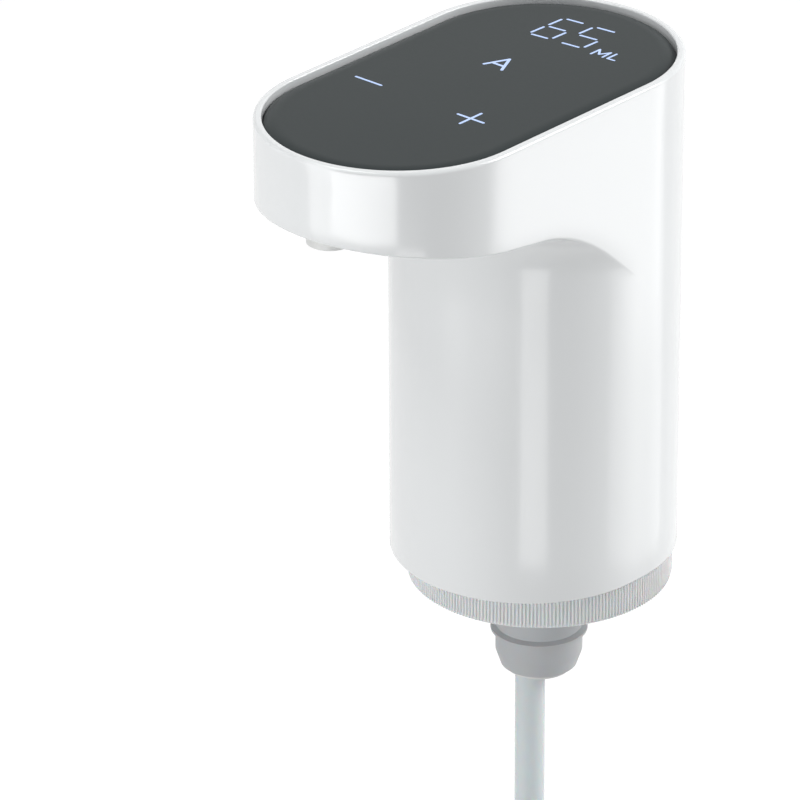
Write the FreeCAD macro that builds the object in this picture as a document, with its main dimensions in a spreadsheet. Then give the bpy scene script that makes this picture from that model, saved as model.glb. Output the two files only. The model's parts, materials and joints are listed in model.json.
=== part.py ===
import FreeCAD, Part
import math
import os
import re
import Sketcher

# Wine preservation dispenser. Millimetres, +Z up, the nose points to -Y.
# z = 0 is the plane in which the stopper flange rests on the bottle lip.

SIZES = (
    # housing
    ("body_radius", "27", "plan radius of the column and of the nose"),
    ("head_span", "40.8", "column axis to the centre of the nose arc"),
    ("column_front", "3.6", "straight stretch of the column plan"),
    ("wall", "2", "housing wall"),
    ("seat_depth", "4.4", "collar below the lip plane"),
    ("ring_height", "7.4", "collar height with its gap"),
    ("housing_height", "103.1", "housing without the collar"),
    ("housing_bottom", "=ring_height - seat_depth", "lower edge of the housing"),
    ("rim_top", "=housing_bottom + housing_height", "top of the rim"),
    ("rim_width", "1.6", "rim round the lens"),
    ("rim_round", "0.7", "outer edge of the rim"),
    ("foot_round", "0.5", "outer edge at the foot"),
    ("nose_drop", "15.8", "depth of the nose below the rim"),
    ("underside_slope", "8.4", "fall of the underside towards the column, degrees"),
    ("root_fillet", "12.5", "fillet between underside and column"),
    ("nose_reach", "=head_span + body_radius", "column axis to the nose tip"),
    ("slope_rise", "=tan(underside_slope * 1 deg)", "rise of the underside per mm"),
    ("underside_at_axis", "=rim_top - nose_drop - nose_reach * slope_rise", "underside level at y = 0"),
    ("cavity_radius", "=body_radius - wall", "inside of the column"),
    ("loose_gap", "0.4", "gap round parts that are slid in"),
    # lens and its stack
    ("lens_recess", "0.6", "lens below the rim"),
    ("lens_thickness", "2", "lens"),
    ("lens_gap", "0.15", "lens to rim"),
    ("lens_round", "1.2", "rolled edge of the lens"),
    ("lens_pocket_radius", "=body_radius - rim_width", "pocket for the lens"),
    ("lens_radius", "=lens_pocket_radius - lens_gap", "lens plan radius"),
    ("lens_top", "=rim_top - lens_recess", "face of the lens"),
    ("lens_bottom", "=lens_top - lens_thickness", "back of the lens"),
    ("seal_thickness", "0.3", "gasket under the lens"),
    ("ledge_width", "2", "ledge under the edge of the lens"),
    ("ledge_radius", "=lens_pocket_radius - ledge_width", "opening inside the ledge"),
    ("ledge_height", "1.5", "ledge under the lens"),
    ("ledge_top", "=lens_bottom - seal_thickness", "ledge face"),
    ("guide_radius", "=ledge_radius - loose_gap", "diffuser plan radius"),
    ("guide_height", "2.8", "diffuser"),
    ("guide_bottom", "=lens_bottom - guide_height - 0.1", "back of the diffuser"),
    ("board_thickness", "1.6", "printed boards"),
    ("touch_board_bottom", "=guide_bottom - board_thickness", "back of the touch board"),
    ("touch_board_reach", "=head_span - 0.8", "front edge of the touch board"),
    ("key_minus_x", "-15", "key position"),
    ("key_plus_x", "10", "key position"),
    ("key_row_back", "8.8", "key row behind the centre of the nose arc"),
    ("key_row_y", "=key_row_back - head_span", "key row"),
    ("key_auto_x", "-2.2", "key position"),
    ("key_auto_y", "-10.5", "key position"),
    ("key_hole_radius", "2.8", "hole in the diffuser over each key"),
    ("key_spring_radius", "1.9", "contact spring"),
    ("key_spring_wire", "0.25", "wire radius"),
    ("board_screw_y", "=key_row_y + 6", "front screws of the touch board"),
    ("display_x", "3.5", "centre of the display"),
    ("display_y", "8.8", "centre of the display"),
    ("display_length", "22.4", "display along X"),
    ("display_width", "13", "display along Y"),
    # screws
    ("screw_radius", "0.9", "small self-tapping screws"),
    ("screw_head_radius", "1.7", "their heads"),
    ("screw_head_height", "1.1", "their heads"),
    ("screw_clearance", "0.2", "holes that a screw passes"),
    # base plate and collar
    ("base_bottom", "3.6", "underside of the base plate"),
    ("base_thickness", "2.4", "base plate"),
    ("base_top", "=base_bottom + base_thickness", "upper face of the base plate"),
    ("base_radius", "=cavity_radius - 0.15", "base plate plan radius"),
    ("skirt_inner_radius", "21.4", "collar guide, inside"),
    ("skirt_radius", "22.9", "collar guide, outside"),
    ("collar_play", "0.3", "collar to its guide"),
    ("bead_reach", "1", "snap bead"),
    ("bead_height", "0.9", "snap bead"),
    ("skirt_bottom", "-0.5", "lower edge of the guide"),
    ("collar_bottom", "=-seat_depth", "lower edge of the collar"),
    ("collar_top", "=housing_bottom - collar_play", "upper edge of the collar"),
    ("collar_radius", "25.7", "collar at the root of its ribs"),
    ("collar_inner_radius", "=skirt_radius + bead_reach + collar_play", "inside of the collar wall"),
    ("collar_web", "2.7", "floor of the collar"),
    ("collar_hole_radius", "17", "hole for the stopper flange"),
    ("collar_rim_radius", "18.6", "inner rim that carries the lugs"),
    ("collar_rim_top", "1.3", "top of the inner rim"),
    ("lug_radius", "18.4", "stopper lugs"),
    ("lug_notch_radius", "19", "notches in the collar"),
    ("lug_bottom", "1.5", "underside of the lugs"),
    ("lug_height", "1.5", "lug thickness"),
    ("lug_angle", "30", "width of a lug, degrees"),
    ("notch_angle", "36", "width of a notch, degrees"),
    ("collar_turn", "40", "turn from locked to open, degrees"),
    # stopper
    ("stem_radius", "6.5", "hard core in the silicone plug"),
    ("stem_bottom", "-26", "lower end of the core"),
    ("core_flange_radius", "16.4", "flange of the core"),
    ("core_flange_top", "3.5", "top of the flange"),
    ("plug_flange_radius", "15.6", "silicone flange on the lip"),
    ("plug_flange_height", "1.5", "silicone flange"),
    ("plug_body_radius", "8.6", "silicone between the lands"),
    ("land_radius", "9.6", "lands that press into the bottle mouth"),
    ("land_height", "2", "first land"),
    ("thin_land_height", "1.5", "other lands"),
    ("land_pitch", "5.5", "from land to land"),
    ("plug_length", "25", "silicone below the lip plane"),
    ("wine_y", "-2.6", "wine port"),
    ("air_y", "3.6", "air port"),
    ("wine_bore", "1.6", "wine passages"),
    ("air_bore", "0.9", "air passages"),
    ("wine_spigot_radius", "2.8", "wine spigot on the core"),
    ("air_spigot_radius", "1.8", "air spigot on the core"),
    ("spigot_top", "10", "top of the spigots"),
    ("socket_play", "0.5", "spigot to socket, closed by the ring"),
    # dip tube
    ("tube_radius", "3", "outer dip tube"),
    ("tube_wall", "0.5", "both dip tubes"),
    ("tube_top", "-14", "upper end of the outer tube"),
    ("tube_bottom", "-164", "lower end of the outer tube"),
    ("sliding_radius", "2.3", "inner dip tube"),
    ("sliding_play", "0.05", "inner tube in its gland"),
    ("sliding_top", "-30", "upper end of the inner tube, pushed in"),
    ("sliding_bottom", "-169", "lower end of the inner tube, pushed in"),
    ("gland_radius", "3.9", "gland on the outer tube"),
    ("gland_height", "8", "gland"),
    ("foot_radius", "3.2", "foot of the inner tube"),
    ("foot_height", "5", "foot of the inner tube"),
    # manifold
    ("manifold_length", "16", "block along X"),
    ("manifold_width", "25.4", "block along Y"),
    ("manifold_y", "-3.2", "centre of the block"),
    ("manifold_bottom", "=base_top + 0.1", "underside of the block"),
    ("manifold_top", "15", "top of the block"),
    ("passage_z", "11.5", "level of the cross passages"),
    ("wine_riser_y", "-12", "wine hose connection"),
    ("hose_radius", "3", "wine hose, outside"),
    ("hose_bore", "2", "wine hose, inside"),
    ("hose_level", "=touch_board_bottom - hose_radius - 0.5", "wine hose in the head"),
    ("hose_bend", "12", "bend of the wine hose"),
    ("air_hose_radius", "2", "air hose, outside"),
    ("air_hose_bore", "1.05", "air hose, inside"),
    ("air_hose_bend", "5", "bend of the air hose"),
    # spout
    ("spout_back", "7.8", "spout axis behind the nose tip"),
    ("spout_y", "=spout_back - nose_reach", "spout axis"),
    ("spout_boss_radius", "6.4", "boss in the nose"),
    ("spout_boss_top", "=rim_top - nose_drop + wall", "top of the boss"),
    ("spout_flange_radius", "5.7", "flange on the boss"),
    ("spout_radius", "4.4", "spout tube"),
    ("spout_bore", "3.5", "outlet"),
    ("spout_reach", "3.4", "spout below the edge of the nose"),
    ("spout_tip", "=rim_top - nose_drop - spout_reach", "lower end of the spout"),
    ("spout_play", "0.2", "spout in its hole"),
    ("spout_ear_x", "9.4", "screws beside the spout"),
    # chassis
    ("tray_bottom", "30", "lower tray"),
    ("tray_thickness", "2", "lower tray"),
    ("tray_top", "=tray_bottom + tray_thickness", "lower tray"),
    ("upper_tray_thickness", "1.6", "upper tray"),
    ("upper_tray_gap", "2.5", "upper tray below the wine hose"),
    ("upper_tray_top", "=hose_level - hose_radius - upper_tray_gap", "upper tray"),
    ("upper_tray_bottom", "=upper_tray_top - upper_tray_thickness", "upper tray"),
    ("spine_x", "-3.35", "spine between cell and pump"),
    ("spine_thickness", "1.1", "spine"),
    ("leg_radius", "2.6", "legs on the base plate"),
    ("leg_front_x", "14.8", "front legs"),
    ("leg_front_y", "-12", "front legs"),
    ("leg_rear_x", "17", "rear legs"),
    ("leg_rear_y", "13.4", "rear legs"),
    ("boss_x", "=cavity_radius - 4.5", "housing bosses for the chassis"),
    ("boss_y", "-13", "housing bosses for the chassis"),
    ("boss_radius", "2.8", "housing bosses for the chassis"),
    # air pump and motor
    ("pump_radius", "12.5", "pump housing"),
    ("pump_wall", "1.3", "pump housing"),
    ("pump_bore", "=pump_radius - pump_wall", "inside of the pump housing"),
    ("pump_x", "=spine_x + spine_thickness / 2 + pump_radius + 0.8", "pump axis"),
    ("pump_y", "4", "pump axis"),
    ("damper_height", "2", "rubber ring under the pump"),
    ("cover_bottom", "=tray_top + damper_height", "pump cover"),
    ("cover_height", "6", "pump cover"),
    ("valve_plate_bottom", "=cover_bottom + cover_height", "valve plate"),
    ("valve_plate_height", "2", "valve plate"),
    ("diaphragm_bottom", "=valve_plate_bottom + valve_plate_height", "diaphragm"),
    ("diaphragm_sheet", "1", "diaphragm"),
    ("pump_body_bottom", "=diaphragm_bottom + diaphragm_sheet", "pump body"),
    ("cup_circle", "6.8", "circle of the three cups"),
    ("cup_radius", "3.4", "pump cup"),
    ("cup_height", "5.2", "pump cup"),
    ("rocker_bottom", "=pump_body_bottom + cup_height", "wobble plate"),
    ("rocker_sheet", "1.4", "wobble plate"),
    ("rocker_stem_height", "3", "stem of the wobble plate"),
    ("rocker_top", "=rocker_bottom + rocker_stem_height", "stem of the wobble plate"),
    ("crank_bottom", "=rocker_top + 0.4", "eccentric"),
    ("crank_height", "3.2", "eccentric"),
    ("crank_radius", "4.4", "eccentric"),
    ("crank_offset", "0.9", "crank pin off the axis"),
    ("crank_pin_radius", "0.75", "crank pin"),
    ("motor_bottom", "=crank_bottom + crank_height + 2.2", "motor can"),
    ("motor_radius", "=pump_radius - 0.3", "motor can"),
    ("motor_wall", "1", "motor can"),
    ("motor_top", "=upper_tray_bottom - loose_gap", "end cap"),
    ("end_cap_height", "2", "end cap above the can"),
    ("can_top", "=motor_top - end_cap_height", "motor can"),
    ("shaft_radius", "1", "motor shaft"),
    ("bearing_play", "0.05", "shaft in its bearings"),
    ("magnet_wall", "2.3", "magnets"),
    ("magnet_inner_radius", "=motor_radius - motor_wall - magnet_wall", "magnets"),
    ("air_gap", "0.7", "armature to magnets"),
    ("armature_radius", "=magnet_inner_radius - air_gap", "armature"),
    ("armature_bottom", "=motor_bottom + 5", "armature"),
    ("armature_height", "=can_top - 6 - armature_bottom", "armature"),
    # battery
    ("cell_radius", "9.15", "18500 cell"),
    ("cell_x", "=spine_x - spine_thickness / 2 - 0.15 - cell_radius", "battery axis"),
    ("cell_y", "5.5", "battery axis"),
    ("lower_pad", "4", "foam under the cell"),
    ("upper_pad", "2.4", "foam over the cell"),
    ("cell_bottom", "=tray_top + lower_pad", "lower end of the cell"),
    ("cell_length", "=upper_tray_bottom - upper_pad - cell_bottom", "cell between its pads, 50 for an 18500"),
    # main board
    ("board_width", "24", "main board along X"),
    ("board_y", "18.5", "front face of the main board"),
    ("board_bottom", "7", "lower end of the main board"),
    ("board_top", "=upper_tray_top", "upper end of the main board"),
    ("socket_width", "8.94", "charging socket"),
    ("socket_height", "3.26", "charging socket"),
    ("socket_z", "12.5", "charging socket"),
    ("socket_mouth", "26.3", "mouth of the charging socket"),
    ("socket_slot", "0.35", "slot round the charging socket"),
    # vent valve
    ("vent_x", "-15.5", "vent valve axis"),
    ("vent_radius", "6", "vent valve"),
    ("vent_top", "17", "top of the valve chamber"),
    ("vent_seat", "14.2", "nozzle that the tip closes"),
    ("yoke_top", "29", "solenoid"),
    ("plunger_radius", "2", "solenoid plunger"),
    ("plunger_play", "0.1", "plunger in its bobbin"),
    ("plunger_top", "25", "plunger at rest"),
    ("plunger_lift", "1.2", "stroke of the plunger"),
    ("pole_bottom", "26.8", "pole piece in the yoke"),
    ("vent_spring_radius", "0.9", "plunger spring"),
    ("vent_spring_wire", "0.15", "wire radius"),
    ("vent_spring_bottom", "21", "floor of the spring bore"),
)

doc = FreeCAD.newDocument("WineDispenser")
sheet = doc.addObject("Spreadsheet::Sheet", "Sizes")
for row, (alias, value, note) in enumerate(SIZES, start=1):
    sheet.set("A%d" % row, alias)
    sheet.set("B%d" % row, value)
    sheet.set("C%d" % row, note)
    sheet.setAlias("B%d" % row, alias)
doc.recompute()

ALIASES = {alias for alias, value, note in SIZES}
WORD = re.compile(r"[a-z]+(?:_[a-z]+)*")
DIRECTIONS = {
    "+z": ((0, 0, 1), 0),
    "-z": ((1, 0, 0), 180),
    "+x": ((0, 1, 0), 90),
    "-x": ((0, 1, 0), -90),
    "+y": ((1, 0, 0), -90),
    "-y": ((1, 0, 0), 90),
}
NODES = {}


def ex(value):
    """Write a number or a formula over the size names as an expression of the sheet."""
    return WORD.sub(lambda m: "Sizes." + m[0] if m[0] in ALIASES else m[0], str(value))


def size(alias):
    """Read one size from the sheet."""
    return float(sheet.get(alias))


def bind(thing, **values):
    """Bind properties of an object to expressions."""
    for prop, value in values.items():
        thing.setExpression(prop, ex(value))
    return thing


def place(thing, at, to="+z"):
    """Point an object's Z axis along `to` and bind its position."""
    axis, angle = DIRECTIONS[to]
    thing.Placement = FreeCAD.Placement(FreeCAD.Vector(), FreeCAD.Rotation(FreeCAD.Vector(axis), angle))
    for name, value in zip("xyz", at):
        if value != 0:
            thing.setExpression("Placement.Base." + name, ex(value))
    return thing


def cyl(name, radius, height, at=(0, 0, 0), to="+z"):
    """Cylinder on the point `at`."""
    thing = bind(doc.addObject("Part::Cylinder", name), Radius=radius, Height=height)
    return place(thing, at, to)


def cone(name, radius, end_radius, height, at=(0, 0, 0), to="+z"):
    """Cone on the point `at`."""
    thing = bind(doc.addObject("Part::Cone", name), Radius1=radius, Radius2=end_radius, Height=height)
    return place(thing, at, to)


def torus(name, radius, wire, at=(0, 0, 0)):
    """Ring of round section."""
    return place(bind(doc.addObject("Part::Torus", name), Radius1=radius, Radius2=wire), at)


def box(name, length, width, height, at=(0, 0, 0)):
    """Box centred in X and Y on the point `at`, standing on it."""
    thing = bind(doc.addObject("Part::Box", name), Length=length, Width=width, Height=height)
    x, y, z = at
    return place(thing, ("%s - (%s) / 2" % (x, length), "%s - (%s) / 2" % (y, width), z))


def fuse(name, *parts):
    """Union of objects."""
    thing = doc.addObject("Part::MultiFuse", name)
    thing.Shapes = list(parts)
    return thing


def cut(name, base, *tools):
    """Base without the tools."""
    thing = doc.addObject("Part::Cut", name)
    thing.Base = base
    thing.Tool = tools[0] if len(tools) == 1 else fuse(name + "_tools", *tools)
    return thing


def common(name, base, tool):
    """What two objects share."""
    thing = doc.addObject("Part::Common", name)
    thing.Base = base
    thing.Tool = tool
    return thing


def group(name, *parts):
    """Solids that stay apart and share a node."""
    thing = doc.addObject("Part::Compound", name)
    thing.Links = list(parts)
    return thing


def pipe(name, outer, inner, height, at=(0, 0, 0), to="+z"):
    """Straight tube."""
    outside = cyl(name + "_outside", outer, height, at, to)
    return cut(name, outside, cyl(name + "_bore", inner, height, at, to))


def node(thing):
    """Export this object under its own name."""
    thing.Label = thing.Name
    NODES[thing.Name] = thing
    return thing


def draw_stadium(body, name, radius, span):
    """Sketch of two half circles, the second one `span` along +Y."""
    sketch = body.newObject("Sketcher::SketchObject", name)
    sketch.AttachmentSupport = (body.Origin.OriginFeatures[3], [""])
    sketch.MapMode = "FlatFace"
    up = FreeCAD.Vector(0, 0, 1)
    near = Part.Circle(FreeCAD.Vector(0, 0, 0), up, 20)
    far = Part.Circle(FreeCAD.Vector(0, 30, 0), up, 20)
    sketch.addGeometry(Part.ArcOfCircle(near, math.pi, 2 * math.pi), False)
    sketch.addGeometry(Part.ArcOfCircle(far, 0, math.pi), False)
    sketch.addGeometry(Part.LineSegment(FreeCAD.Vector(20, 0, 0), FreeCAD.Vector(20, 30, 0)), False)
    sketch.addGeometry(Part.LineSegment(FreeCAD.Vector(-20, 30, 0), FreeCAD.Vector(-20, 0, 0)), False)
    for first, first_end, second, second_end in ((0, 2, 2, 1), (2, 2, 1, 1), (1, 2, 3, 1), (3, 2, 0, 1)):
        sketch.addConstraint(Sketcher.Constraint("Tangent", first, first_end, second, second_end))
    sketch.addConstraint(Sketcher.Constraint("Coincident", 0, 3, -1, 1))
    sketch.addConstraint(Sketcher.Constraint("PointOnObject", 1, 3, -2))
    sketch.addConstraint(Sketcher.Constraint("Vertical", 2))
    radius_at = sketch.addConstraint(Sketcher.Constraint("Radius", 0, 20))
    span_at = sketch.addConstraint(Sketcher.Constraint("DistanceY", 0, 3, 1, 3, 30))
    sketch.setExpression("Constraints[%d]" % radius_at, ex(radius))
    sketch.setExpression("Constraints[%d]" % span_at, ex(span))
    return sketch


def draw_polygon(body, name, plane, points):
    """Closed sketch through points that are bound to expressions, none of them negative."""
    sketch = body.newObject("Sketcher::SketchObject", name)
    sketch.AttachmentSupport = (body.Origin.OriginFeatures[plane], [""])
    sketch.MapMode = "FlatFace"
    count = len(points)
    turn = 2 * math.pi / count
    corners = [FreeCAD.Vector(20 + 9 * math.sin(turn * i), 20 - 9 * math.cos(turn * i)) for i in range(count)]
    for i in range(count):
        sketch.addGeometry(Part.LineSegment(corners[i], corners[(i + 1) % count]), False)
    for i in range(count):
        sketch.addConstraint(Sketcher.Constraint("Coincident", i, 2, (i + 1) % count, 1))
    for i, (across, upward) in enumerate(points):
        for kind, value, axis in (("DistanceX", across, -2), ("DistanceY", upward, -1)):
            if value == 0:
                sketch.addConstraint(Sketcher.Constraint("PointOnObject", i, 1, axis))
                continue
            at = sketch.addConstraint(Sketcher.Constraint(kind, -1, 1, i, 1, 5 + i))
            sketch.setExpression("Constraints[%d]" % at, ex(value))
    return sketch


def stadium(name, radius, span, height, z):
    """Pad of stadium plan that reaches towards -Y."""
    body = doc.addObject("PartDesign::Body", name)
    body.Placement = FreeCAD.Placement(FreeCAD.Vector(), FreeCAD.Rotation(FreeCAD.Vector(0, 0, 1), 180))
    body.setExpression("Placement.Base.z", ex(z))
    pad = body.newObject("PartDesign::Pad", name + "_pad")
    pad.Profile = draw_stadium(body, name + "_plan", radius, span)
    bind(pad, Length=height)
    doc.recompute()
    return body


def lathe(name, points, at=(0, 0, 0), to="+z"):
    """Turned part: (radius, level) points above the point `at`."""
    body = doc.addObject("PartDesign::Body", name)
    sketch = draw_polygon(body, name + "_profile", 4, points)
    turned = body.newObject("PartDesign::Revolution", name + "_turned")
    turned.Profile = sketch
    turned.ReferenceAxis = (sketch, ["V_Axis"])
    turned.Angle = 360
    place(body, at, to)
    doc.recompute()
    return body


def round_edges(body, name, radius, wanted):
    """Fillet the edges of a body's tip whose middle point passes the test."""
    base = body.Tip
    names = []
    for index, edge in enumerate(base.Shape.Edges, start=1):
        middle = edge.valueAt((edge.FirstParameter + edge.LastParameter) / 2)
        if wanted(middle):
            names.append("Edge%d" % index)
    if not names:
        raise RuntimeError(name + ": no edge found")
    fillet = body.newObject("PartDesign::Fillet", name)
    fillet.Base = (base, names)
    bind(fillet, Radius=radius)
    doc.recompute()
    return body


def undercut(name, grow):
    """Space under the head, grown by the wall for the inside of the housing."""
    radius = "(body_radius - %s)" % grow
    foot = "30"
    rear = "(underside_at_axis + %s / cos(underside_slope * 1 deg) + %s)" % (grow, foot)
    body = doc.addObject("PartDesign::Body", name)
    body.Placement = FreeCAD.Placement(FreeCAD.Vector(), FreeCAD.Rotation(FreeCAD.Vector(0, 0, 1), 180))
    body.setExpression("Placement.Base.z", "-" + foot)
    side = ((0, 0), (0, rear), ("90", rear + " + 90 * slope_rise"), ("90", 0))
    pad = body.newObject("PartDesign::Pad", name + "_wedge")
    pad.Profile = draw_polygon(body, name + "_side", 5, side)
    pad.Midplane = True
    bind(pad, Length="120")
    doc.recompute()
    pocket = body.newObject("PartDesign::Pocket", name + "_column")
    pocket.Profile = draw_stadium(body, name + "_plan", radius, "column_front")
    pocket.Reversed = True
    bind(pocket, Length="200")
    doc.recompute()
    wide = size("body_radius") + 0.01
    deep = wide + size("column_front")
    level = size("underside_at_axis") + 20
    round_edges(body, name + "_fillet", "root_fillet + %s" % grow,
                lambda p: abs(p.x) < wide and 0.01 < p.y < deep and p.z > level)
    return body


def spring(name, radius, wire, pitch, height, at):
    """Helical spring."""
    coil = bind(doc.addObject("Part::Helix", name + "_coil"), Pitch=pitch, Height=height, Radius=radius)
    coil.SegmentLength = 0.25
    section = bind(doc.addObject("Part::Circle", name + "_section"), Radius=wire)
    section.Placement.Rotation = FreeCAD.Rotation(FreeCAD.Vector(1, 0, 0), 90)
    section.setExpression("Placement.Base.x", ex(radius))
    doc.recompute()
    thing = doc.addObject("Part::Sweep", name)
    thing.Sections = [section]
    thing.Spine = (coil, ["Edge%d" % (i + 1) for i in range(len(coil.Shape.Edges))])
    thing.Solid = True
    thing.Frenet = True
    return place(thing, at)


def route(points, bend):
    """Wire of straight runs and tangent arcs."""
    edges = []
    start = points[0]
    for before, corner, after in zip(points, points[1:], points[2:]):
        back = (before - corner).normalize()
        ahead = (after - corner).normalize()
        half = back.getAngle(ahead) / 2
        first = corner + back * (bend / math.tan(half))
        last = corner + ahead * (bend / math.tan(half))
        centre = corner + (back + ahead).normalize() * (bend / math.sin(half))
        middle = centre + (corner - centre).normalize() * bend
        edges.append(Part.LineSegment(start, first).toShape())
        edges.append(Part.Arc(first, middle, last).toShape())
        start = last
    edges.append(Part.LineSegment(start, points[-1]).toShape())
    return Part.Wire(edges)


def hose(name, outer, inner, points, bend):
    """Hose swept along its route, its volume compared with section times length."""
    path = route([FreeCAD.Vector(p) for p in points], bend)
    shapes = []
    for radius in (outer, inner):
        ring = Part.Circle(FreeCAD.Vector(points[0]), path.Edges[0].tangentAt(0), radius).toShape()
        shapes.append(path.makePipeShell([Part.Wire([ring])], True, False))
        expected = math.pi * radius * radius * path.Length
        if abs(shapes[-1].Volume - expected) > 0.01 * expected:
            raise RuntimeError(name + ": swept volume is wrong")
    thing = doc.addObject("Part::Feature", name)
    thing.Shape = shapes[0].cut(shapes[1])
    return thing


def screw(name, length, at, to="+z"):
    """Screw whose head starts at the point and whose shank goes on in the same direction."""
    return lathe(name, (
        (0, 0), ("screw_head_radius", 0), ("screw_head_radius", "screw_head_height"),
        ("screw_radius", "screw_head_height"), ("screw_radius", "screw_head_height + " + str(length)),
        (0, "screw_head_height + " + str(length))), at, to)


# ---- housing ----------------------------------------------------------------------------------

outer = stadium("housing_outside", "body_radius", "head_span", "housing_height", "housing_bottom")
height = size("housing_height")
round_edges(outer, "housing_rim_round", "rim_round", lambda p: abs(p.z - height) < 0.01)
round_edges(outer, "housing_foot_round", "foot_round", lambda p: abs(p.z) < 0.01)
SIDES = (("left", "-"), ("right", ""))
cavity = cut("housing_cavity",
             stadium("housing_inside", "cavity_radius", "head_span",
                     "ledge_top - ledge_height - housing_bottom + 1", "housing_bottom - 1"),
             undercut("undercut_inside", "wall"))
shell = fuse(
    "housing_with_bosses",
    cut("housing_shell", outer, cavity),
    cyl("spout_boss", "spout_boss_radius", "12", (0, "spout_y", "spout_boss_top - 12")),
    *[cyl("spout_screw_boss_" + side, "2.6", "12.5", (sign + "spout_ear_x", "spout_y", "spout_boss_top - 12"))
      for side, sign in SIDES],
    *[cyl("chassis_boss_" + side, "boss_radius", "10", (sign + "boss_x", "boss_y", "tray_top + 0.1"))
      for side, sign in SIDES])
slot_radius = "socket_height / 2 + socket_slot"
slot_shift = "(socket_width - socket_height) / 2"
housing = node(cut(
    "housing",
    cut("housing_block", shell, undercut("undercut_outside", "0")),
    stadium("ledge_opening", "ledge_radius", "head_span", "10", "ledge_top - 5"),
    stadium("lens_pocket", "lens_pocket_radius", "head_span", "10", "ledge_top"),
    cyl("spout_hole", "spout_radius + spout_play", "30", (0, "spout_y", "spout_boss_top - 20")),
    *[cyl("spout_pilot_" + side, "screw_radius", "4.5",
          (sign + "spout_ear_x", "spout_y", "spout_boss_top - 4")) for side, sign in SIDES],
    *[cyl("chassis_pilot_" + side, "screw_radius", "8", (sign + "boss_x", "boss_y", "tray_top"))
      for side, sign in SIDES],
    *[cyl("socket_slot_" + side, slot_radius, "6", (sign + slot_shift, "22", "socket_z"), "+y")
      for side, sign in SIDES],
    box("socket_slot_middle", "socket_width - socket_height", "6", "2 * (%s)" % slot_radius,
        (0, "25", "socket_z - (%s)" % slot_radius))))

# ---- lens stack -------------------------------------------------------------------------------

lens = stadium("lens_panel", "lens_radius", "head_span", "lens_thickness", "lens_bottom")
lens_height = size("lens_thickness")
node(round_edges(lens, "lens_edge", "lens_round", lambda p: abs(p.z - lens_height) < 0.01))
node(cut("lens_seal",
         stadium("seal_outside", "lens_radius", "head_span", "seal_thickness", "ledge_top"),
         stadium("seal_inside", "ledge_radius + 0.1", "head_span", "seal_thickness", "ledge_top")))
KEYS = (("minus", "key_minus_x", "key_row_y"), ("plus", "key_plus_x", "key_row_y"),
        ("auto", "key_auto_x", "key_auto_y"))
BOARD_SCREWS = (("a", "-18.5", "board_screw_y"), ("b", "18.5", "board_screw_y"), ("c", "-17.5", "4"),
                ("d", "18.6", "2"))
node(cut(
    "light_guide",
    stadium("guide_block", "guide_radius", "head_span", "guide_height", "guide_bottom"),
    box("display_window", "display_length + 1", "display_width + 1", "9",
        ("display_x", "display_y", "guide_bottom - 1")),
    *[cyl("key_hole_" + key, "key_hole_radius", "9", (x, y, "guide_bottom - 1")) for key, x, y in KEYS],
    *[cyl("guide_pilot_" + tag, "screw_radius", "2.2", (x, y, "guide_bottom"))
      for tag, x, y in BOARD_SCREWS]))
node(cut(
    "display_module",
    box("display_block", "display_length", "display_width", "guide_height - 0.2",
        ("display_x", "display_y", "guide_bottom")),
    *[box("digit_well_%d" % i, "6", "11", "0.6", (x, "display_y", "lens_bottom - 0.8"))
      for i, x in enumerate(("display_x - 7.2", "display_x"))],
    box("unit_well", "6", "4", "0.6", ("display_x + 7.2", "display_y - 3", "lens_bottom - 0.8"))))
touch_block = common(
    "touch_board_blank",
    stadium("touch_board_plan", "guide_radius - 0.4", "head_span", "board_thickness", "touch_board_bottom"),
    box("touch_board_limit", "60", "touch_board_reach + 30", "9",
        (0, "(30 - touch_board_reach) / 2", "touch_board_bottom - 1")))
node(cut(
    "touch_board", touch_block,
    *[cyl("touch_board_hole_" + tag, "screw_radius + screw_clearance", "9", (x, y, "touch_board_bottom - 1"))
      for tag, x, y in BOARD_SCREWS]))
node(group("touch_board_screws", *[
    screw("touch_board_screw_" + tag, "board_thickness + 2", (x, y, "touch_board_bottom - screw_head_height"))
    for tag, x, y in BOARD_SCREWS]))
node(group("touch_springs", *[
    spring("touch_spring_" + key, "key_spring_radius", "key_spring_wire", "0.75", "guide_height - 0.5",
           (x, y, "guide_bottom + key_spring_wire + 0.02")) for key, x, y in KEYS]))

# ---- base plate and collar --------------------------------------------------------------------

LEGS = (("a", "-leg_front_x", "leg_front_y"), ("b", "leg_front_x", "leg_front_y"),
        ("c", "-leg_rear_x", "leg_rear_y"), ("d", "leg_rear_x", "leg_rear_y"))
skirt = lathe("base_skirt", (
    ("skirt_inner_radius", 0), ("skirt_radius + bead_reach", 0), ("skirt_radius + bead_reach", "bead_height"),
    ("skirt_radius", "bead_height + 0.4"), ("skirt_radius", "base_bottom - skirt_bottom + 0.5"),
    ("skirt_inner_radius", "base_bottom - skirt_bottom + 0.5")), (0, 0, "skirt_bottom"))
node(cut(
    "base_plate",
    fuse("base_with_skirt", skirt,
         stadium("base_disc", "base_radius", "column_front", "base_thickness", "base_bottom")),
    cyl("wine_spigot_hole", "wine_spigot_radius + 0.4", "9", (0, "wine_y", "base_bottom - 1")),
    cyl("air_spigot_hole", "air_spigot_radius + 0.4", "9", (0, "air_y", "base_bottom - 1")),
    *[cyl("base_screw_hole_" + tag, "screw_radius + screw_clearance", "9", (x, y, "base_bottom - 1"))
      for tag, x, y in LEGS],
    *[cyl("base_head_room_" + tag, "screw_head_radius + screw_clearance", "screw_head_height + 1",
          (x, y, "base_bottom - 1")) for tag, x, y in LEGS]))
node(group("base_screws", *[
    screw("base_screw_" + tag, "6", (x, y, "base_bottom")) for tag, x, y in LEGS]))

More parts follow.
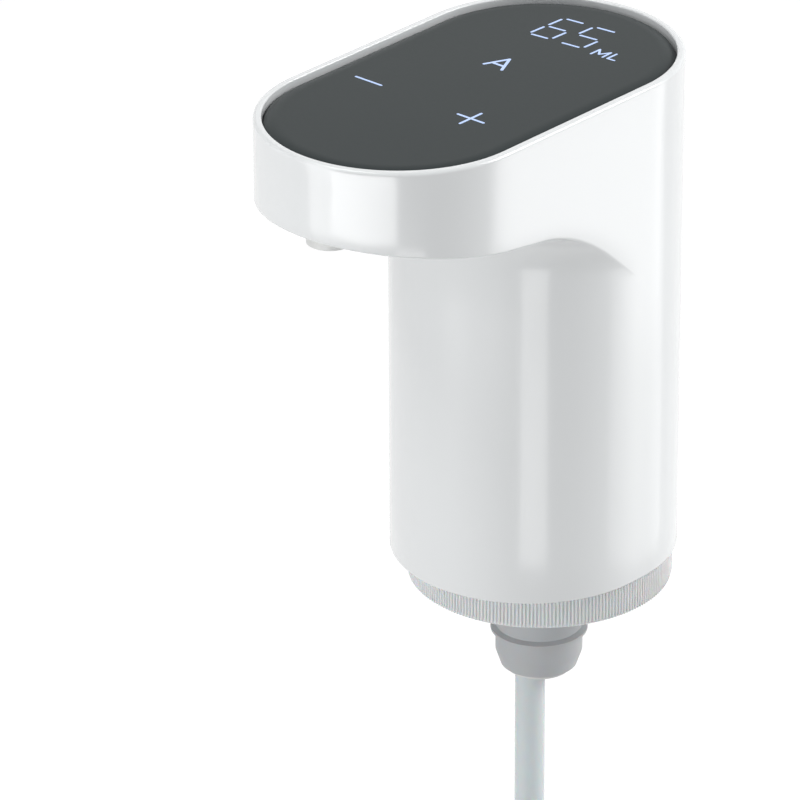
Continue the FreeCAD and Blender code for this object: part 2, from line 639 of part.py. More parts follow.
collar = lathe("collar_turned", (
    ("collar_hole_radius", 0), ("collar_radius - 0.4", 0), ("collar_radius", "0.4"),
    ("collar_radius", "collar_top - collar_bottom - 0.4"),
    ("collar_radius - 0.4", "collar_top - collar_bottom"),
    ("collar_inner_radius", "collar_top - collar_bottom"),
    ("collar_inner_radius", "1.9 - collar_bottom"),
    ("collar_inner_radius - bead_reach", "1.6 - collar_bottom"),
    ("collar_inner_radius - bead_reach", "0.9 - collar_bottom"),
    ("collar_inner_radius", "0.6 - collar_bottom"),
    ("collar_inner_radius", "collar_web"), ("collar_rim_radius", "collar_web"),
    ("collar_rim_radius", "collar_rim_top - collar_bottom"),
    ("collar_hole_radius", "collar_rim_top - collar_bottom")), (0, 0, "collar_bottom"))


def sector(name, radius, angle, height, turn, z):
    """Slice of a disc centred on the direction `turn` degrees from +X."""
    thing = bind(doc.addObject("Part::Cylinder", name), Radius=radius, Height=height, Angle=angle)
    place(thing, (0, 0, z))
    thing.setExpression("Placement.Rotation.Angle", ex("(%s - (%s) / 2) * 1 deg" % (turn, angle)))
    return thing


node(cut("twist_ring", collar, *[
    sector("collar_notch_%d" % turn, "lug_notch_radius", "notch_angle", "20", "%d - collar_turn" % turn,
           "collar_bottom - 1") for turn in (90, 210, 330)]))

# ---- stopper ----------------------------------------------------------------------------------

lugs = common(
    "core_lugs",
    cyl("lug_disc", "lug_radius", "lug_height", (0, 0, "lug_bottom")),
    fuse("lug_sectors", *[
        sector("lug_sector_%d" % turn, "lug_radius + 5", "lug_angle", "20", "%d" % turn, "-5")
        for turn in (90, 210, 330)]))
node(cut(
    "stopper_core",
    fuse("core_block", lugs,
         cyl("core_flange", "core_flange_radius", "core_flange_top - lug_bottom", (0, 0, "lug_bottom")),
         cyl("core_stem", "stem_radius", "lug_bottom - stem_bottom", (0, 0, "stem_bottom")),
         cyl("wine_spigot", "wine_spigot_radius", "spigot_top - lug_bottom", (0, "wine_y", "lug_bottom")),
         cyl("air_spigot", "air_spigot_radius", "spigot_top - lug_bottom", (0, "air_y", "lug_bottom"))),
    cyl("core_wine_bore", "wine_bore + 0.4", "60", (0, "wine_y", "-40")),
    cyl("core_air_bore", "air_bore", "60", (0, "air_y", "-40")),
    cyl("core_tube_socket", "tube_radius", "tube_top - stem_bottom + 1", (0, "wine_y", "stem_bottom - 1"))))
land_points = [("stem_radius", 0), ("plug_body_radius - 1", 0), ("plug_body_radius", "3")]
for index in (3, 2, 1):
    foot = "plug_length - %d * land_pitch - thin_land_height" % index
    land_points += [("plug_body_radius", foot), ("land_radius", foot + " + 0.5"),
                    ("land_radius", foot + " + thin_land_height - 0.5"),
                    ("plug_body_radius", foot + " + thin_land_height")]
land_points += [("plug_body_radius", "plug_length - land_height - 0.5"),
                ("land_radius", "plug_length - land_height"),
                ("land_radius", "plug_length"), ("plug_flange_radius", "plug_length"),
                ("plug_flange_radius", "plug_length + plug_flange_height"),
                ("stem_radius", "plug_length + plug_flange_height")]
node(lathe("bottle_stopper", land_points, (0, 0, "-plug_length")))
node(group("port_o_rings",
           torus("wine_o_ring", "wine_spigot_radius + socket_play / 2", "socket_play / 2 - 0.01",
                 (0, "wine_y", "manifold_bottom + 1.4")),
           torus("air_o_ring", "air_spigot_radius + socket_play / 2", "socket_play / 2 - 0.01",
                 (0, "air_y", "manifold_bottom + 1.4"))))

# ---- dip tube ---------------------------------------------------------------------------------

node(pipe("outer_tube", "tube_radius", "tube_radius - tube_wall", "tube_top - tube_bottom",
          (0, "wine_y", "tube_bottom")))
node(lathe("tube_gland", (
    ("sliding_radius + sliding_play", 0), ("gland_radius - 0.6", 0), ("gland_radius", "0.8"),
    ("gland_radius", "gland_height - 0.5"), ("gland_radius - 0.5", "gland_height"),
    ("tube_radius", "gland_height"), ("tube_radius", "2"), ("sliding_radius + 0.55", "2"),
    ("sliding_radius + 0.55", "1"), ("sliding_radius + sliding_play", "1")),
    (0, "wine_y", "tube_bottom - 2")))
node(torus("gland_o_ring", "sliding_radius + 0.28", "0.25", (0, "wine_y", "tube_bottom - 0.6")))
node(pipe("inner_tube", "sliding_radius", "sliding_radius - tube_wall", "sliding_top - sliding_bottom",
          (0, "wine_y", "sliding_bottom")))
node(cut(
    "tube_foot",
    lathe("foot_turned", (
        (0, 0), ("foot_radius - 0.8", 0), ("foot_radius", "1"), ("foot_radius", "foot_height"),
        ("sliding_radius", "foot_height"), ("sliding_radius", "3"), ("sliding_radius - tube_wall", "3"),
        ("sliding_radius - tube_wall", "1"), (0, "1")), (0, "wine_y", "sliding_bottom - 3")),
    box("foot_slot_x", "9", "1.6", "1.9", (0, "wine_y", "sliding_bottom - 3.01")),
    box("foot_slot_y", "1.6", "9", "1.9", (0, "wine_y", "sliding_bottom - 3.01"))))

# ---- manifold, valves -------------------------------------------------------------------------

half_length = "manifold_length / 2"
node(cut(
    "manifold",
    fuse("manifold_block_with_barb",
         box("manifold_block", "manifold_length", "manifold_width", "manifold_top - manifold_bottom",
             (0, "manifold_y", "manifold_bottom")),
         lathe("wine_barb", (
             (0, 0), ("3.2", 0), ("3.2", "1.5"), ("hose_bore", "1.5"), ("hose_bore", "7.5"), (0, "7.5")),
             (0, "wine_riser_y", "manifold_top"))),
    cyl("wine_socket", "wine_spigot_radius + socket_play", "spigot_top + 0.3 - 5", (0, "wine_y", "5")),
    cyl("air_socket", "air_spigot_radius + socket_play", "spigot_top + 0.3 - 5", (0, "air_y", "5")),
    cyl("wine_rise", "wine_bore - 0.2", "3", (0, "wine_y", "passage_z - 3")),
    cyl("air_rise", "air_bore - 0.2", "3", (0, "air_y", "passage_z - 3")),
    cyl("wine_cross", "wine_bore", "wine_y - wine_riser_y + 3.4", (0, "wine_riser_y - 1.7", "passage_z"),
        "+y"),
    cyl("wine_up", "wine_bore - 0.3", "30", (0, "wine_riser_y", "passage_z")),
    cyl("air_cross", "air_bore", "manifold_length", ("-" + half_length, "air_y", "passage_z"), "+x"),
    cyl("vent_port", "1.6", "2.5", ("-" + half_length, "air_y", "passage_z"), "+x"),
    cyl("check_valve_pocket", "2.2", half_length + " - 3.2", ("3.2", "air_y", "passage_z"), "+x")))
node(cut(
    "check_valve",
    lathe("check_valve_turned", (
        (0, 0), ("0.5", 0), ("1.5", "1.8"), ("2.15", "1.8"), ("2.15", "2.4"), (0, "2.4")),
        ("3.3", "air_y", "passage_z"), "+x"),
    cyl("check_valve_bore", "0.7", "2", ("4.5", "air_y", "passage_z"), "+x"),
    box("check_valve_slit", "2", "0.05", "0.7", ("3.7", "air_y", "passage_z - 0.35"))))
node(cut(
    "air_inlet_barb",
    lathe("air_inlet_turned", (
        (0, 0), ("2.2", 0), ("2.2", "2.2"), ("3.2", "2.2"), ("3.2", "3.6"), ("air_hose_bore", "3.6"),
        ("air_hose_bore", "6.6"), (0, "6.6")), (half_length + " - 2.2", "air_y", "passage_z"), "+x"),
    cyl("air_inlet_bore", "0.6", "20", ("4", "air_y", "passage_z"), "+x")))

spigot_reach = "-vent_x - %s + 2" % half_length
node(cut(
    "vent_valve_seat",
    fuse("vent_block",
         cut("vent_cup",
             cyl("vent_cup_outside", "vent_radius", "vent_top - manifold_bottom",
                 ("vent_x", "air_y", "manifold_bottom")),
             cyl("vent_chamber", "vent_radius - 1.4", "9", ("vent_x", "air_y", "13")),
             cyl("vent_outlet", "1", "9", ("vent_x", "air_y", "15.4"), "-y")),
         cyl("vent_nozzle", "1.6", "vent_seat - 12", ("vent_x", "air_y", "12")),
         cyl("vent_spigot", "1.6", spigot_reach, ("vent_x", "air_y", "passage_z"), "+x")),
    cyl("vent_bore", "0.8", "9", ("vent_x", "air_y", "passage_z")),
    cyl("vent_spigot_bore", "0.7", "20", ("vent_x", "air_y", "passage_z"), "+x")))
node(cut(
    "solenoid_yoke",
    fuse("yoke_block",
         cut("yoke_can",
             cyl("yoke_outside", "vent_radius", "yoke_top - vent_top", ("vent_x", "air_y", "vent_top")),
             cyl("yoke_inside", "vent_radius - 0.8", "yoke_top - vent_top - 2",
                 ("vent_x", "air_y", "vent_top + 1"))),
         cyl("yoke_pole", "plunger_radius", "yoke_top - pole_bottom", ("vent_x", "air_y", "pole_bottom"))),
    cyl("yoke_hole", "plunger_radius + plunger_play", "3", ("vent_x", "air_y", "vent_top - 1"))))
node(pipe("solenoid_coil", "vent_radius - 1", "plunger_radius + plunger_play", "yoke_top - vent_top - 2.4",
          ("vent_x", "air_y", "vent_top + 1.2")))
node(cut(
    "solenoid_plunger",
    cyl("plunger_block", "plunger_radius", "plunger_top - vent_seat - 1.3",
        ("vent_x", "air_y", "vent_seat + 1.3")),
    cyl("plunger_spring_bore", "vent_spring_radius + vent_spring_wire + 0.1", "9",
        ("vent_x", "air_y", "vent_spring_bottom"))))
node(cyl("vent_valve_tip", "plunger_radius - 0.1", "1.28", ("vent_x", "air_y", "vent_seat + 0.02")))
node(spring("solenoid_spring", "vent_spring_radius", "vent_spring_wire", "0.62",
            "pole_bottom - vent_spring_bottom - 2 * vent_spring_wire - 0.06",
            ("vent_x", "air_y", "vent_spring_bottom + vent_spring_wire + 0.03")))

# ---- hoses and spout --------------------------------------------------------------------------

rise = (0, size("wine_riser_y"), size("manifold_top") + 1.6)
bend_corner = (0, size("wine_riser_y"), size("hose_level"))
spout_end = (0, size("spout_y") + size("spout_radius") + 1.9, size("hose_level"))
node(hose("wine_hose", size("hose_radius"), size("hose_bore"), (rise, bend_corner, spout_end),
          size("hose_bend")))
air_start = (size("manifold_length") / 2 + 1.5, size("air_y"), size("passage_z"))
air_corner = (17, size("air_y"), size("passage_z"))
air_end = (17, size("air_y"), size("cover_bottom") - 2.3)
node(hose("air_hose", size("air_hose_radius"), size("air_hose_bore"), (air_start, air_corner, air_end),
          size("air_hose_bend")))

flange_bottom = "(spout_boss_top + 0.5)"
node(cut(
    "spout",
    fuse("spout_block",
         cyl("spout_tube", "spout_radius", flange_bottom + " - spout_tip", (0, "spout_y", "spout_tip")),
         cyl("spout_flange", "spout_flange_radius", "1.3", (0, "spout_y", flange_bottom)),
         box("spout_ears", "2 * spout_ear_x", "4.4", "1.3", (0, "spout_y", flange_bottom)),
         *[cyl("spout_ear_" + side, "2.2", "1.3", (sign + "spout_ear_x", "spout_y", flange_bottom))
           for side, sign in SIDES],
         cyl("spout_turret", "spout_radius", "hose_level + 3.4 - " + flange_bottom,
             (0, "spout_y", flange_bottom)),
         cyl("spout_barb", "hose_bore", "11", (0, "spout_y", "hose_level"), "+y")),
    cyl("spout_outlet", "spout_bore", "hose_level + 1.5 - spout_tip + 1", (0, "spout_y", "spout_tip - 1")),
    cyl("spout_barb_bore", "hose_bore - 0.6", "20", (0, "spout_y", "hose_level"), "+y"),
    *[cyl("spout_ear_hole_" + side, "screw_radius + screw_clearance", "9",
          (sign + "spout_ear_x", "spout_y", flange_bottom + " - 1")) for side, sign in SIDES]))
node(pipe("spout_seal", "spout_flange_radius - 0.2", "spout_radius", "0.5", (0, "spout_y", "spout_boss_top")))
node(group("spout_screws", *[
    screw("spout_screw_" + side, "5",
          (sign + "spout_ear_x", "spout_y", flange_bottom + " + 1.3 + screw_head_height"), "-z")
    for side, sign in SIDES]))

# ---- chassis ----------------------------------------------------------------------------------

board_slot = ("board_width + 0.6", "board_thickness + 0.4", "9")
tray = stadium("lower_tray", "cavity_radius - loose_gap", "column_front", "tray_thickness", "tray_bottom")
top_tray = stadium("upper_tray", "cavity_radius - loose_gap", "column_front", "upper_tray_thickness",
                   "upper_tray_bottom")
leg_height = "tray_bottom - base_top + 1"
node(cut(
    "chassis",
    fuse("chassis_block", tray, top_tray,
         box("spine", "spine_thickness", "24", "upper_tray_bottom - tray_top + 1",
             ("spine_x", "4.5", "tray_top - 0.5")),
         *[cyl("leg_" + tag, "leg_radius", leg_height, (x, y, "base_top")) for tag, x, y in LEGS]),
    *[cyl("leg_pilot_" + tag, "screw_radius", "9 - screw_head_height", (x, y, "base_top - 1"))
      for tag, x, y in LEGS],
    cyl("pump_hole", "9", "9", ("pump_x", "pump_y", "tray_bottom - 3")),
    cyl("hose_hole", "hose_radius + 0.6", "9", (0, "wine_riser_y", "tray_bottom - 3")),
    box("upper_hose_hole", "8", "9.5", "9", (0, "wine_riser_y - 2.2", "upper_tray_bottom - 3")),
    box("lower_board_slot", *board_slot, (0, "board_y + board_thickness / 2", "tray_bottom - 3")),
    box("upper_board_slot", *board_slot, (0, "board_y + board_thickness / 2", "upper_tray_bottom - 3")),
    *[cyl("upper_boss_notch_" + side, "boss_radius + 0.5", "9",
          (sign + "boss_x", "boss_y", "upper_tray_bottom - 3")) for side, sign in SIDES],
    *[cyl("tray_screw_hole_" + side, "screw_radius + screw_clearance", "9",
          (sign + "boss_x", "boss_y", "tray_bottom - 3")) for side, sign in SIDES],
    box("upper_flex_slot", "9", "3.4", "9", ("0", "16.6", "upper_tray_bottom - 3"))))
node(group("chassis_screws", *[
    screw("chassis_screw_" + side, "8", (sign + "boss_x", "boss_y", "tray_bottom - screw_head_height"))
    for side, sign in SIDES]))

# ---- battery ----------------------------------------------------------------------------------

node(lathe("battery_cell", (
    (0, 0), ("cell_radius - 0.5", 0), ("cell_radius", "0.5"), ("cell_radius", "cell_length - 3.2"),
    ("cell_radius - 0.6", "cell_length - 2.8"), ("cell_radius - 0.6", "cell_length - 2"),
    ("cell_radius", "cell_length - 1.6"), ("cell_radius", "cell_length - 0.8"),
    ("cell_radius - 0.5", "cell_length - 0.3"), ("3", "cell_length - 0.3"), ("3", "cell_length"),
    (0, "cell_length")), ("cell_x", "cell_y", "cell_bottom")))
node(group("battery_pads",
           cyl("lower_battery_pad", "7.5", "lower_pad", ("cell_x", "cell_y", "tray_top")),
           cyl("upper_battery_pad", "7.5", "upper_pad", ("cell_x", "cell_y", "cell_bottom + cell_length"))))

# ---- air pump ---------------------------------------------------------------------------------

PUMP_SCREWS = (("a", 60), ("b", 180), ("c", 300))
MOTOR_SCREWS = (("a", 90), ("b", 270))


def around(radius, degrees):
    """X and Y expressions of a point on a circle about the pump axis."""
    return ("pump_x + (%s) * cos(%d * 1 deg)" % (radius, degrees),
            "pump_y + (%s) * sin(%d * 1 deg)" % (radius, degrees))


pump = ("pump_x", "pump_y")
node(pipe("pump_damper", "11", "9", "damper_height", pump + ("tray_top",)))
nozzle_x = "17"
node(cut(
    "pump_cover",
    fuse("pump_cover_block",
         cyl("pump_cover_disc", "pump_radius", "cover_height", pump + ("cover_bottom",)),
         cyl("pump_nozzle", "air_hose_bore", "6.5", (nozzle_x, "air_y", "cover_bottom"), "-z")),
    cyl("outlet_chamber", "9.5", "cover_height - 1.5", pump + ("cover_bottom + 1.5",)),
    cyl("pump_nozzle_bore", "0.6", "20", (nozzle_x, "air_y", "cover_bottom - 10")),
    *[cyl("pump_cover_hole_" + tag, "screw_radius + screw_clearance", "20",
          around("11", turn) + ("cover_bottom - 1",)) for tag, turn in PUMP_SCREWS],
    *[cyl("pump_cover_head_" + tag, "screw_head_radius + 0.1", "screw_head_height + 1",
          around("11", turn) + ("cover_bottom - 1",)) for tag, turn in PUMP_SCREWS]))
node(cut(
    "pump_valve_plate",
    cyl("valve_plate_disc", "pump_radius", "valve_plate_height", pump + ("valve_plate_bottom",)),
    *[cyl("inlet_hole_%d" % turn, "0.9", "9", around("cup_circle + 1.6", turn) + ("valve_plate_bottom - 1",))
      for turn in (0, 120, 240)],
    *[cyl("outlet_hole_%d" % turn, "0.9", "9", around("cup_circle - 1.6", turn) + ("valve_plate_bottom - 1",))
      for turn in (0, 120, 240)],
    *[cyl("valve_plate_hole_" + tag, "screw_radius + screw_clearance", "9",
          around("11", turn) + ("valve_plate_bottom - 1",)) for tag, turn in PUMP_SCREWS]))
node(cut(
    "pump_diaphragm",
    fuse("diaphragm_block",
         cyl("diaphragm_disc", "pump_radius", "diaphragm_sheet", pump + ("diaphragm_bottom",)),
         *[cone("cup_%d" % turn, "cup_radius", "cup_radius - 1.2", "cup_height",
                around("cup_circle", turn) + ("pump_body_bottom",)) for turn in (0, 120, 240)]),
    *[cone("cup_space_%d" % turn, "cup_radius - 0.6", "cup_radius - 1.8", "cup_height",
           around("cup_circle", turn) + ("diaphragm_bottom",)) for turn in (0, 120, 240)],
    *[cyl("diaphragm_hole_" + tag, "screw_radius + screw_clearance", "9",
          around("11", turn) + ("diaphragm_bottom - 1",)) for tag, turn in PUMP_SCREWS]))
screw_columns = fuse("pump_screw_columns", *[
    cyl("pump_screw_column_" + tag, "2", "7", around("11", turn) + ("pump_body_bottom",))
    for tag, turn in PUMP_SCREWS])
node(cut(
    "pump_body",
    fuse("pump_body_block",
         pipe("pump_body_tube", "pump_radius", "pump_bore", "motor_bottom - pump_body_bottom",
              pump + ("pump_body_bottom",)),
         cyl("pump_body_wall", "pump_radius", "1.4", pump + ("motor_bottom - 1.4",)),
         common("pump_body_columns", screw_columns,
                cyl("pump_body_limit", "pump_radius", "40", pump + ("pump_body_bottom",)))),
    cyl("pump_body_shaft_hole", "3", "9", pump + ("motor_bottom - 3",)),
    *[cyl("pump_pilot_" + tag, "screw_radius", "6", around("11", turn) + ("pump_body_bottom",))
      for tag, turn in PUMP_SCREWS],
    *[cyl("motor_screw_hole_" + tag, "screw_radius + screw_clearance", "9",
          around("8", turn) + ("motor_bottom - 4",)) for tag, turn in MOTOR_SCREWS]))
node(cut(
    "pump_rocker",
    fuse("rocker_block",
         cyl("rocker_disc", "10", "rocker_sheet", pump + ("rocker_bottom",)),
         cyl("rocker_stem", "2.8", "rocker_stem_height", pump + ("rocker_bottom",))),
    cyl("rocker_socket", "crank_offset + crank_pin_radius + 0.15", "9", pump + ("rocker_bottom + 1",)),
    *[cyl("rocker_notch_" + tag, "2.5", "9", around("11", turn) + ("rocker_bottom - 1",))
      for tag, turn in PUMP_SCREWS]))
node(group("pump_screws", *[
    screw("pump_screw_" + tag, "pump_body_bottom - cover_bottom + 4", around("11", turn) + ("cover_bottom",))
    for tag, turn in PUMP_SCREWS]))

# ---- motor ------------------------------------------------------------------------------------

node(group("motor_screws", *[
    screw("motor_screw_" + tag, "1.4 + motor_wall",
          around("8", turn) + ("motor_bottom - 1.4 - screw_head_height",)) for tag, turn in MOTOR_SCREWS]))
bearing = "shaft_radius + bearing_play"
node(cut(
    "motor_can",
    cut("motor_can_cup",
        cyl("motor_can_outside", "motor_radius", "can_top - motor_bottom", pump + ("motor_bottom",)),
        cyl("motor_can_inside", "motor_radius - motor_wall", "can_top - motor_bottom",
            pump + ("motor_bottom + motor_wall",))),
    cyl("front_bearing", bearing, "9", pump + ("motor_bottom - 2",)),
    *[cyl("motor_pilot_" + tag, "screw_radius", "9", around("8", turn) + ("motor_bottom - 4",))
      for tag, turn in MOTOR_SCREWS]))
magnet_tube = pipe("magnet_tube", "motor_radius - motor_wall", "magnet_inner_radius", "armature_height + 2",
                   pump + ("armature_bottom - 1",))
magnet_gap = box("magnet_gap", "8", "40", "armature_height + 10", pump + ("armature_bottom - 5",))
node(cut("motor_magnets", magnet_tube, magnet_gap))
node(cut(
    "motor_end_cap",
    lathe("end_cap_turned", (
        (0, 0), ("motor_radius - motor_wall", 0), ("motor_radius - motor_wall", "1.6"),
        ("motor_radius", "1.6"), ("motor_radius", "end_cap_height + 1.2"),
        ("motor_radius - 0.4", "end_cap_height + 1.6"), (0, "end_cap_height + 1.6")),
        pump + ("can_top - 1.6",)),
    cyl("rear_bearing", bearing, "3", pump + ("can_top - 2",))))
node(group("motor_brushes", *[
    box("motor_brush_%s" % side, "2.6", "1.4", "2.4", ("pump_x %s 4.4" % sign, "pump_y", "can_top - 4"))
    for side, sign in (("left", "-"), ("right", "+"))]))
node(cyl("motor_shaft", "shaft_radius", "can_top + 0.9 - crank_bottom - 1.4", pump + ("crank_bottom + 1.4",)))
node(cut(
    "motor_armature",
    fuse("armature_block",
         cyl("armature_core", "armature_radius", "armature_height", pump + ("armature_bottom",)),
         cyl("commutator", "3", "2.8", pump + ("can_top - 4.6",)),
         cyl("armature_sleeve", "2", "3", pump + ("armature_bottom + armature_height - 1",))),
    cyl("armature_bore", "shaft_radius", "armature_height + 20", pump + ("armature_bottom - 5",)),
    *[cyl("armature_slot_%d" % turn, "1.6", "armature_height + 10",
          around("armature_radius - 0.6", turn) + ("armature_bottom - 5",))
      for turn in (30, 150, 270)]))
node(cut(
    "crank",
    cyl("crank_block", "crank_radius", "crank_height", pump + ("crank_bottom",)),
    cyl("crank_shaft_hole", "shaft_radius", "9", pump + ("crank_bottom + 1.4",)),
    cyl("crank_pin_hole", "crank_pin_radius", "1.4", ("pump_x + crank_offset", "pump_y", "crank_bottom"))))
node(cyl("crank_pin", "crank_pin_radius", "crank_bottom + 1.4 - rocker_bottom - 1.2",
         ("pump_x + crank_offset", "pump_y", "rocker_bottom + 1.2")))

# ---- electronics ------------------------------------------------------------------------------

node(box("main_board", "board_width", "board_thickness", "board_top - board_bottom",
         (0, "board_y + board_thickness / 2", "board_bottom")))
board_back = "(board_y + board_thickness)"
CHIPS = (("charger", 5, 4.4, -6, 24, 1), ("driver", 5, 6, 5, 24, 1), ("controller", 7, 7, 0, 45, 1),
         ("inductor", 6, 6, -6, 62, 2.4), ("connector", 10, 4, 0, "board_top - 5.6", 2))
node(group("board_chips", *[
    box("chip_" + name, width, depth, tall, (x, board_back + " + %s / 2" % depth, z))
    for name, width, tall, x, z, depth in CHIPS]))
socket_length = "socket_mouth - " + board_back
node(cut(
    "usb_socket",
    fuse("socket_shell",
         *[cyl("socket_" + side, "socket_height / 2", socket_length,
               (sign + slot_shift, board_back, "socket_z"), "+y") for side, sign in SIDES],
         box("socket_middle", "socket_width - socket_height", socket_length, "socket_height",
             (0, "(socket_mouth + %s) / 2" % board_back, "socket_z - socket_height / 2"))),
    cut("socket_space",
        fuse("socket_hollow",
             *[cyl("hollow_" + side, "socket_height / 2 - 0.35", "9",
                   (sign + slot_shift, board_back + " + 1", "socket_z"), "+y") for side, sign in SIDES],
             box("hollow_middle", "socket_width - socket_height", "9", "socket_height - 0.7",
                 (0, board_back + " + 5.5", "socket_z - socket_height / 2 + 0.35"))),
        box("socket_tongue", "6.7", "5", "0.7", (0, board_back + " + 3", "socket_z - 0.35")))))
board_front = size("board_y")
lead = 0.5


def lead_wire(name, points):
    """Solid lead that ends on the front of the main board."""
    path = route([FreeCAD.Vector(p) for p in points], 2 * lead)
    ring = Part.Circle(FreeCAD.Vector(points[0]), path.Edges[0].tangentAt(0), lead).toShape()
    thing = doc.addObject("Part::Feature", name)
    thing.Shape = path.makePipeShell([Part.Wire([ring])], True, False)
    return thing


def behind(x, axis_x, axis_y, radius):
    """Y where a lead at X clears a round part by its rear side."""
    beside = abs(x - size(axis_x)) - lead
    return size(axis_y) + math.sqrt(size(radius) ** 2 - beside ** 2)


tab = (size("cell_x") + 4.15, size("cell_y") + 7.19)
cell_ends = (size("cell_bottom"), size("cell_bottom") + size("cell_length") - 0.3)
behind_cell = board_front - 1.6
node(group("battery_leads", *[
    lead_wire("battery_lead_" + tag, (
        (*tab, end), (*tab, end + away), (tab[0], behind_cell, end + away),
        (tab[0], behind_cell, end + along), (tab[0], board_front, end + along)))
    for tag, end, away, along in (("minus", cell_ends[0], -2, 16), ("plus", cell_ends[1], 1.2, -15.7))]))
motor_lead_z = size("motor_top") - 1.3
motor_lead_end = motor_lead_z - 10.7
behind_motor = board_front - 1.1
node(group(
    "drive_leads",
    *[lead_wire("motor_lead_" + tag, (
        (x, behind(x, "pump_x", "pump_y", "motor_radius"), motor_lead_z), (x, behind_motor, motor_lead_z),
        (x, behind_motor, motor_lead_end), (x, board_front, motor_lead_end)))
      for tag, x in (("plus", 7.6), ("minus", 9.4))],
    *[lead_wire("valve_lead_" + tag, (
        (x, behind(x, "vent_x", "air_y", "vent_radius"), 24), (x, board_front, 24)))
      for tag, x in (("plus", -11.4), ("minus", -10))]))
flex_y = "(board_y - 1.3)"
flex_foot = "(board_top - 10)"
flex_level = "(touch_board_bottom - 0.3)"
node(fuse(
    "flex_cable",
    box("flex_foot", "7", "1.4", "0.3", (0, "board_y - 0.7", flex_foot)),
    box("flex_rise", "7", "0.3", flex_level + " - " + flex_foot + " + 0.3", (0, flex_y, flex_foot)),
    box("flex_run", "7", "12", "0.3", (0, flex_y + " - 5.85", flex_level))))

# ---- check and export -------------------------------------------------------------------------

doc.recompute()
for thing in doc.Objects:
    if "Invalid" in thing.State or "Error" in thing.State:
        raise RuntimeError("%s: %s" % (thing.Name, thing.State))
os.makedirs("parts", exist_ok=True)
for name, thing in NODES.items():
    shape = thing.Shape
    if shape.isNull() or not shape.isValid() or not shape.Solids:
        raise RuntimeError(name + ": bad shape")
    shape.exportStep("parts/%s.step" % name)
    print("%-20s solids %d  volume %.1f" % (name, len(shape.Solids), shape.Volume))
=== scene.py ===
"""Wine preservation dispenser: shell, lens, lit keys, ribbed collar, stopper and tube, with their finishes."""
import json
import math

import bmesh
import bpy
import numpy as np
from bpy.props import FloatProperty, FloatVectorProperty, IntProperty, PointerProperty
from mathutils import Matrix, Vector


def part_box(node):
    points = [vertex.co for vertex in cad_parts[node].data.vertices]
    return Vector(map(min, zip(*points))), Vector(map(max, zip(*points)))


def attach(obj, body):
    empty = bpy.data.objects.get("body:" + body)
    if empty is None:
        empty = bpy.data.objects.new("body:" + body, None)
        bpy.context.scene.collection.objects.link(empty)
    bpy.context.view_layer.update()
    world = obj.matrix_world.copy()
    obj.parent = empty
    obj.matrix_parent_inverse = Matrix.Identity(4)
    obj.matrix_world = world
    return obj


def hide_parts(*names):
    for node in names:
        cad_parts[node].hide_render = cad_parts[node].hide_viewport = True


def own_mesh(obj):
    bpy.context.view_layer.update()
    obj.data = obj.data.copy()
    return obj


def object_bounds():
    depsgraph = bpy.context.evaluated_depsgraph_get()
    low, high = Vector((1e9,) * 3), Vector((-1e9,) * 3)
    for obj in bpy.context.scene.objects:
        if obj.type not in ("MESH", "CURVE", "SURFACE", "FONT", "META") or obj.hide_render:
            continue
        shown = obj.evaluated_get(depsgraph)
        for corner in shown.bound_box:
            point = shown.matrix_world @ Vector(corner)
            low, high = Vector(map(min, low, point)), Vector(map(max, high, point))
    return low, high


bl_info = {
    "name": "Wine dispenser",
    "version": (1, 0, 0),
    "blender": (4, 5, 0),
    "location": "View3D > Sidebar > Dispenser",
    "description": "Builds a wine dispenser with its shell, touch lens, collar and stopper",
    "category": "Add Mesh",
}

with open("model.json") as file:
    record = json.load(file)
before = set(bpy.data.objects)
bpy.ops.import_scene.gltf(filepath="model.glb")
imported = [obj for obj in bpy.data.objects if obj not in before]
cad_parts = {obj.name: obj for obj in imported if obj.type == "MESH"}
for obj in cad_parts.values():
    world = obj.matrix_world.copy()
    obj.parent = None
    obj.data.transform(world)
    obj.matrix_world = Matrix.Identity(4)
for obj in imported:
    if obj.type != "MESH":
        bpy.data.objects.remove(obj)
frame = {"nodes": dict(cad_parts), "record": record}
CAD_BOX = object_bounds()
MM = 0.001
TINY = 1e-6

# sizes that aren't settings, in metres
SPOUT_Y = -60 * MM
SPOUT_HOLE = 4.55 * MM
SOCKET_GAP = 0.35 * MM
FOOT_ROUND = 0.5 * MM
INNER_LIP_ROUND = 0.3 * MM
LEDGE_DEPTH = 1.6 * MM
LEDGE_THICKNESS = 1.5 * MM
SEAM = 0.2 * MM
SHELL_CREASE = 38

# place of the camera in metres, its sideways and upward directions, its focal length in millimetres
CAMERA_PLACE = (0.72182, -0.84821, 0.58040)
CAMERA_RIGHT = (0.7468, 0.6651, -0.0039)
CAMERA_UP = (-0.2911, 0.3322, 0.8972)
CAMERA_LENS = 288.1
LAMP_TARGET = (0, -0.02, 0.05)
FLOOR_REACH = 4

# name, bearing and rise in degrees, distance, width and height in metres, watts
WINDOWS = (
    ("Left window", -110, 9, 0.5, 0.20, 0.62, 0.85),
    ("Right window", 46, 8, 0.5, 0.30, 0.62, 0.64),
)
GLOWS = (
    ("Left glow", -76, -11.5, 0.35, 0.30, 0.09, 0.39),
    ("Front glow", -43, -27, 0.35, 0.12, 0.09, 0.08),
    ("Right glow", 44, -20, 0.35, 0.26, 0.19, 0.14),
)
CEILING = (
    ("Ceiling left", -135, 65, 1.0, 0.5, 0.5, 3.9),
    ("Ceiling right", 45, 35, 1.0, 0.5, 0.5, 5.9),
)


# ---- settings ---------------------------------------------------------------------------------

def length(default, name, description):
    """A length setting, given in millimetres."""
    return FloatProperty(name=name, description=description, default=default * MM, min=0, unit="LENGTH",
                         precision=5)


def amount(default, name, description):
    """A plain setting, zero or more."""
    return FloatProperty(name=name, description=description, default=default, min=0)


